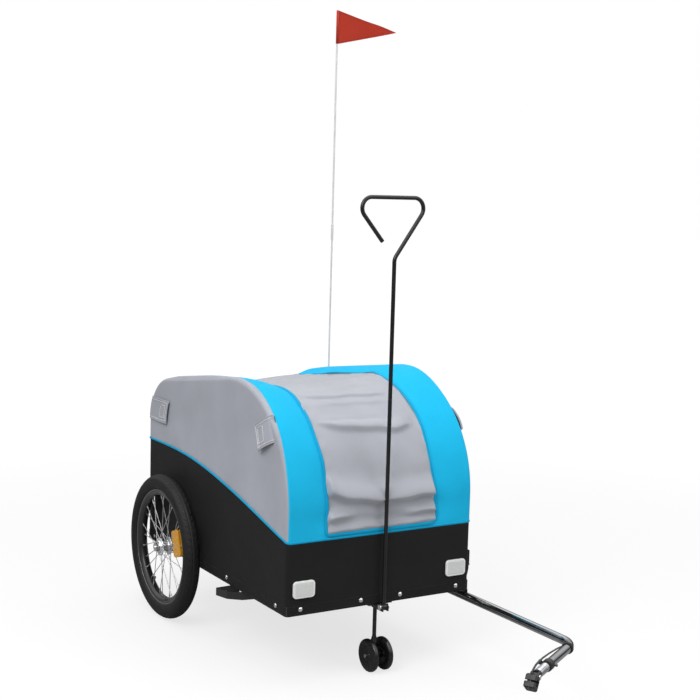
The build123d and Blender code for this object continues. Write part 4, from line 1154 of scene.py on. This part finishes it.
def paint_cad():
    """Gives every CAD node that stays in view its own material."""
    for paint, names in CAD_PAINT.items():
        for name in names.split():
            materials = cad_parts[name].data.materials
            materials.clear()
            materials.append(mats[paint])


# ---- stage, light and camera ----
def studio_world():
    """White to the camera, a soft grey sky for light, and a darker sky near the ground in reflections."""
    world = bpy.data.worlds.new("studio")
    bpy.context.scene.world = world
    world.use_nodes = True
    tree = world.node_tree
    tree.nodes.clear()
    where = add_node(tree, "ShaderNodeTexCoord").outputs["Generated"]
    height = add_node(tree, "ShaderNodeSeparateXYZ", {0: where}).outputs["Z"]

    def sky(low, high, strength=1.0):
        """Background that fades from low to high, each a place and a colour."""
        ramp = add_node(tree, "ShaderNodeValToRGB", {0: height})
        for element, (at, colour) in zip(ramp.color_ramp.elements, (low, high)):
            element.position = at
            element.color = (*colour, 1)
        inputs = {"Color": ramp.outputs[0], "Strength": strength}
        return add_node(tree, "ShaderNodeBackground", inputs).outputs[0]

    def choose(ray, otherwise, chosen):
        """One background for a kind of ray and another for the rest."""
        chance = add_node(tree, "ShaderNodeLightPath").outputs[ray]
        return add_node(tree, "ShaderNodeMixShader", {0: chance, 1: otherwise, 2: chosen}).outputs[0]

    seen = add_node(tree, "ShaderNodeBackground", {"Color": (1, 1, 1, 1)}).outputs[0]
    lit = sky((0.0, (0.36, 0.36, 0.37)), (0.75, (1.25, 1.25, 1.25)), 0.55)
    shine = sky((0.12, (0.03, 0.03, 0.03)), (0.62, (1.6, 1.6, 1.6)))
    whole = choose("Is Camera Ray", choose("Is Glossy Ray", lit, shine), seen)
    add_node(tree, "ShaderNodeOutputWorld", {0: whole})


def studio_floor():
    """Pale floor that takes shadows and fades into the white backdrop."""
    far_edge = 30.0
    mesh = bpy.data.meshes.new("floor")
    corners = [(far_edge * x, far_edge * y, 0) for x, y in ((-1, -1), (1, -1), (1, 1), (-1, 1))]
    mesh.from_pydata(corners, [], [(0, 1, 2, 3)])
    floor = bpy.data.objects.new("floor", mesh)
    bpy.context.scene.collection.objects.link(floor)
    paint = Paint("floor_paint", (0.86, 0.86, 0.86), 0.9, Specular_IOR_Level=0.0)
    bounce = paint.node("ShaderNodeBsdfDiffuse", {"Color": (0.42, 0.42, 0.42, 1)})
    far = paint.node("ShaderNodeVectorMath", {0: paint.object_space()}, operation="LENGTH").outputs["Value"]
    reach = {0: far, 1: 1.0, 2: 4.0, 3: 0.7, 4: 1.0}
    fade = paint.node("ShaderNodeMapRange", reach, interpolation_type="SMOOTHSTEP")
    glow = paint.node("ShaderNodeEmission", {"Color": (1.04, 1.04, 1.04, 1)})
    parts = {0: fade.outputs[0], 1: paint.shader.outputs[0], 2: glow.outputs[0]}
    blend = paint.node("ShaderNodeMixShader", parts)
    seen_by = paint.node("ShaderNodeLightPath").outputs["Is Camera Ray"]
    whole = paint.node("ShaderNodeMixShader", {0: seen_by, 1: bounce.outputs[0], 2: blend.outputs[0]})
    paint.tree.links.new(whole.outputs[0], paint.tree.nodes["Material Output"].inputs[0])
    mesh.materials.append(paint.material)


def lamps():
    """Three square soft lights aimed at the cabin."""
    target = Vector(metres((0, -300, 400)))
    for name, spot, size, power in (
        ("key", (-2500, -1800, 2700), 2.0, 64),
        ("top", (300, -500, 3200), 2.2, 26),
        ("fill", (1800, -3200, 1700), 2.0, 17),
    ):
        data = bpy.data.lights.new(name, "AREA")
        data.size = size
        data.energy = power
        lamp = bpy.data.objects.new(name, data)
        bpy.context.scene.collection.objects.link(lamp)
        lamp.location = metres(spot)
        lamp.rotation_euler = (target - lamp.location).to_track_quat("-Z", "Y").to_euler()


CAMERA_SPOT = (-1778.4, -3271.6, 1169.8)
CAMERA_YAW = 0.513
CAMERA_PITCH = 0.1152
CAMERA_ROLL = -0.0217


def camera():
    """Camera at the photograph's viewing angle."""
    flat = math.cos(CAMERA_PITCH)
    ahead = Vector((math.sin(CAMERA_YAW) * flat, math.cos(CAMERA_YAW) * flat, -math.sin(CAMERA_PITCH)))
    right = ahead.cross(Vector((0, 0, 1))).normalized()
    down = ahead.cross(right)
    right, down = (
        right * math.cos(CAMERA_ROLL) + down * math.sin(CAMERA_ROLL),
        down * math.cos(CAMERA_ROLL) - right * math.sin(CAMERA_ROLL),
    )
    eye = bpy.data.objects.new("camera", bpy.data.cameras.new("camera"))
    bpy.context.scene.collection.objects.link(eye)
    turn = Matrix((right, -down, -ahead)).transposed().to_4x4()
    eye.matrix_world = Matrix.Translation(metres(CAMERA_SPOT)) @ turn
    eye.data.lens = 67.54
    eye.data.shift_x = 0.0958
    eye.data.shift_y = 0.0007
    bpy.context.scene.camera = eye
    bpy.context.scene.view_settings.view_transform = "Standard"


paint_cad()
cabin()
wheels()
caster_wheels()
skirt_reflectors()
safety_strap()
coupling_spring()
pennant()
sleeve()
pocket()
studio_world()
studio_floor()
lamps()
camera()
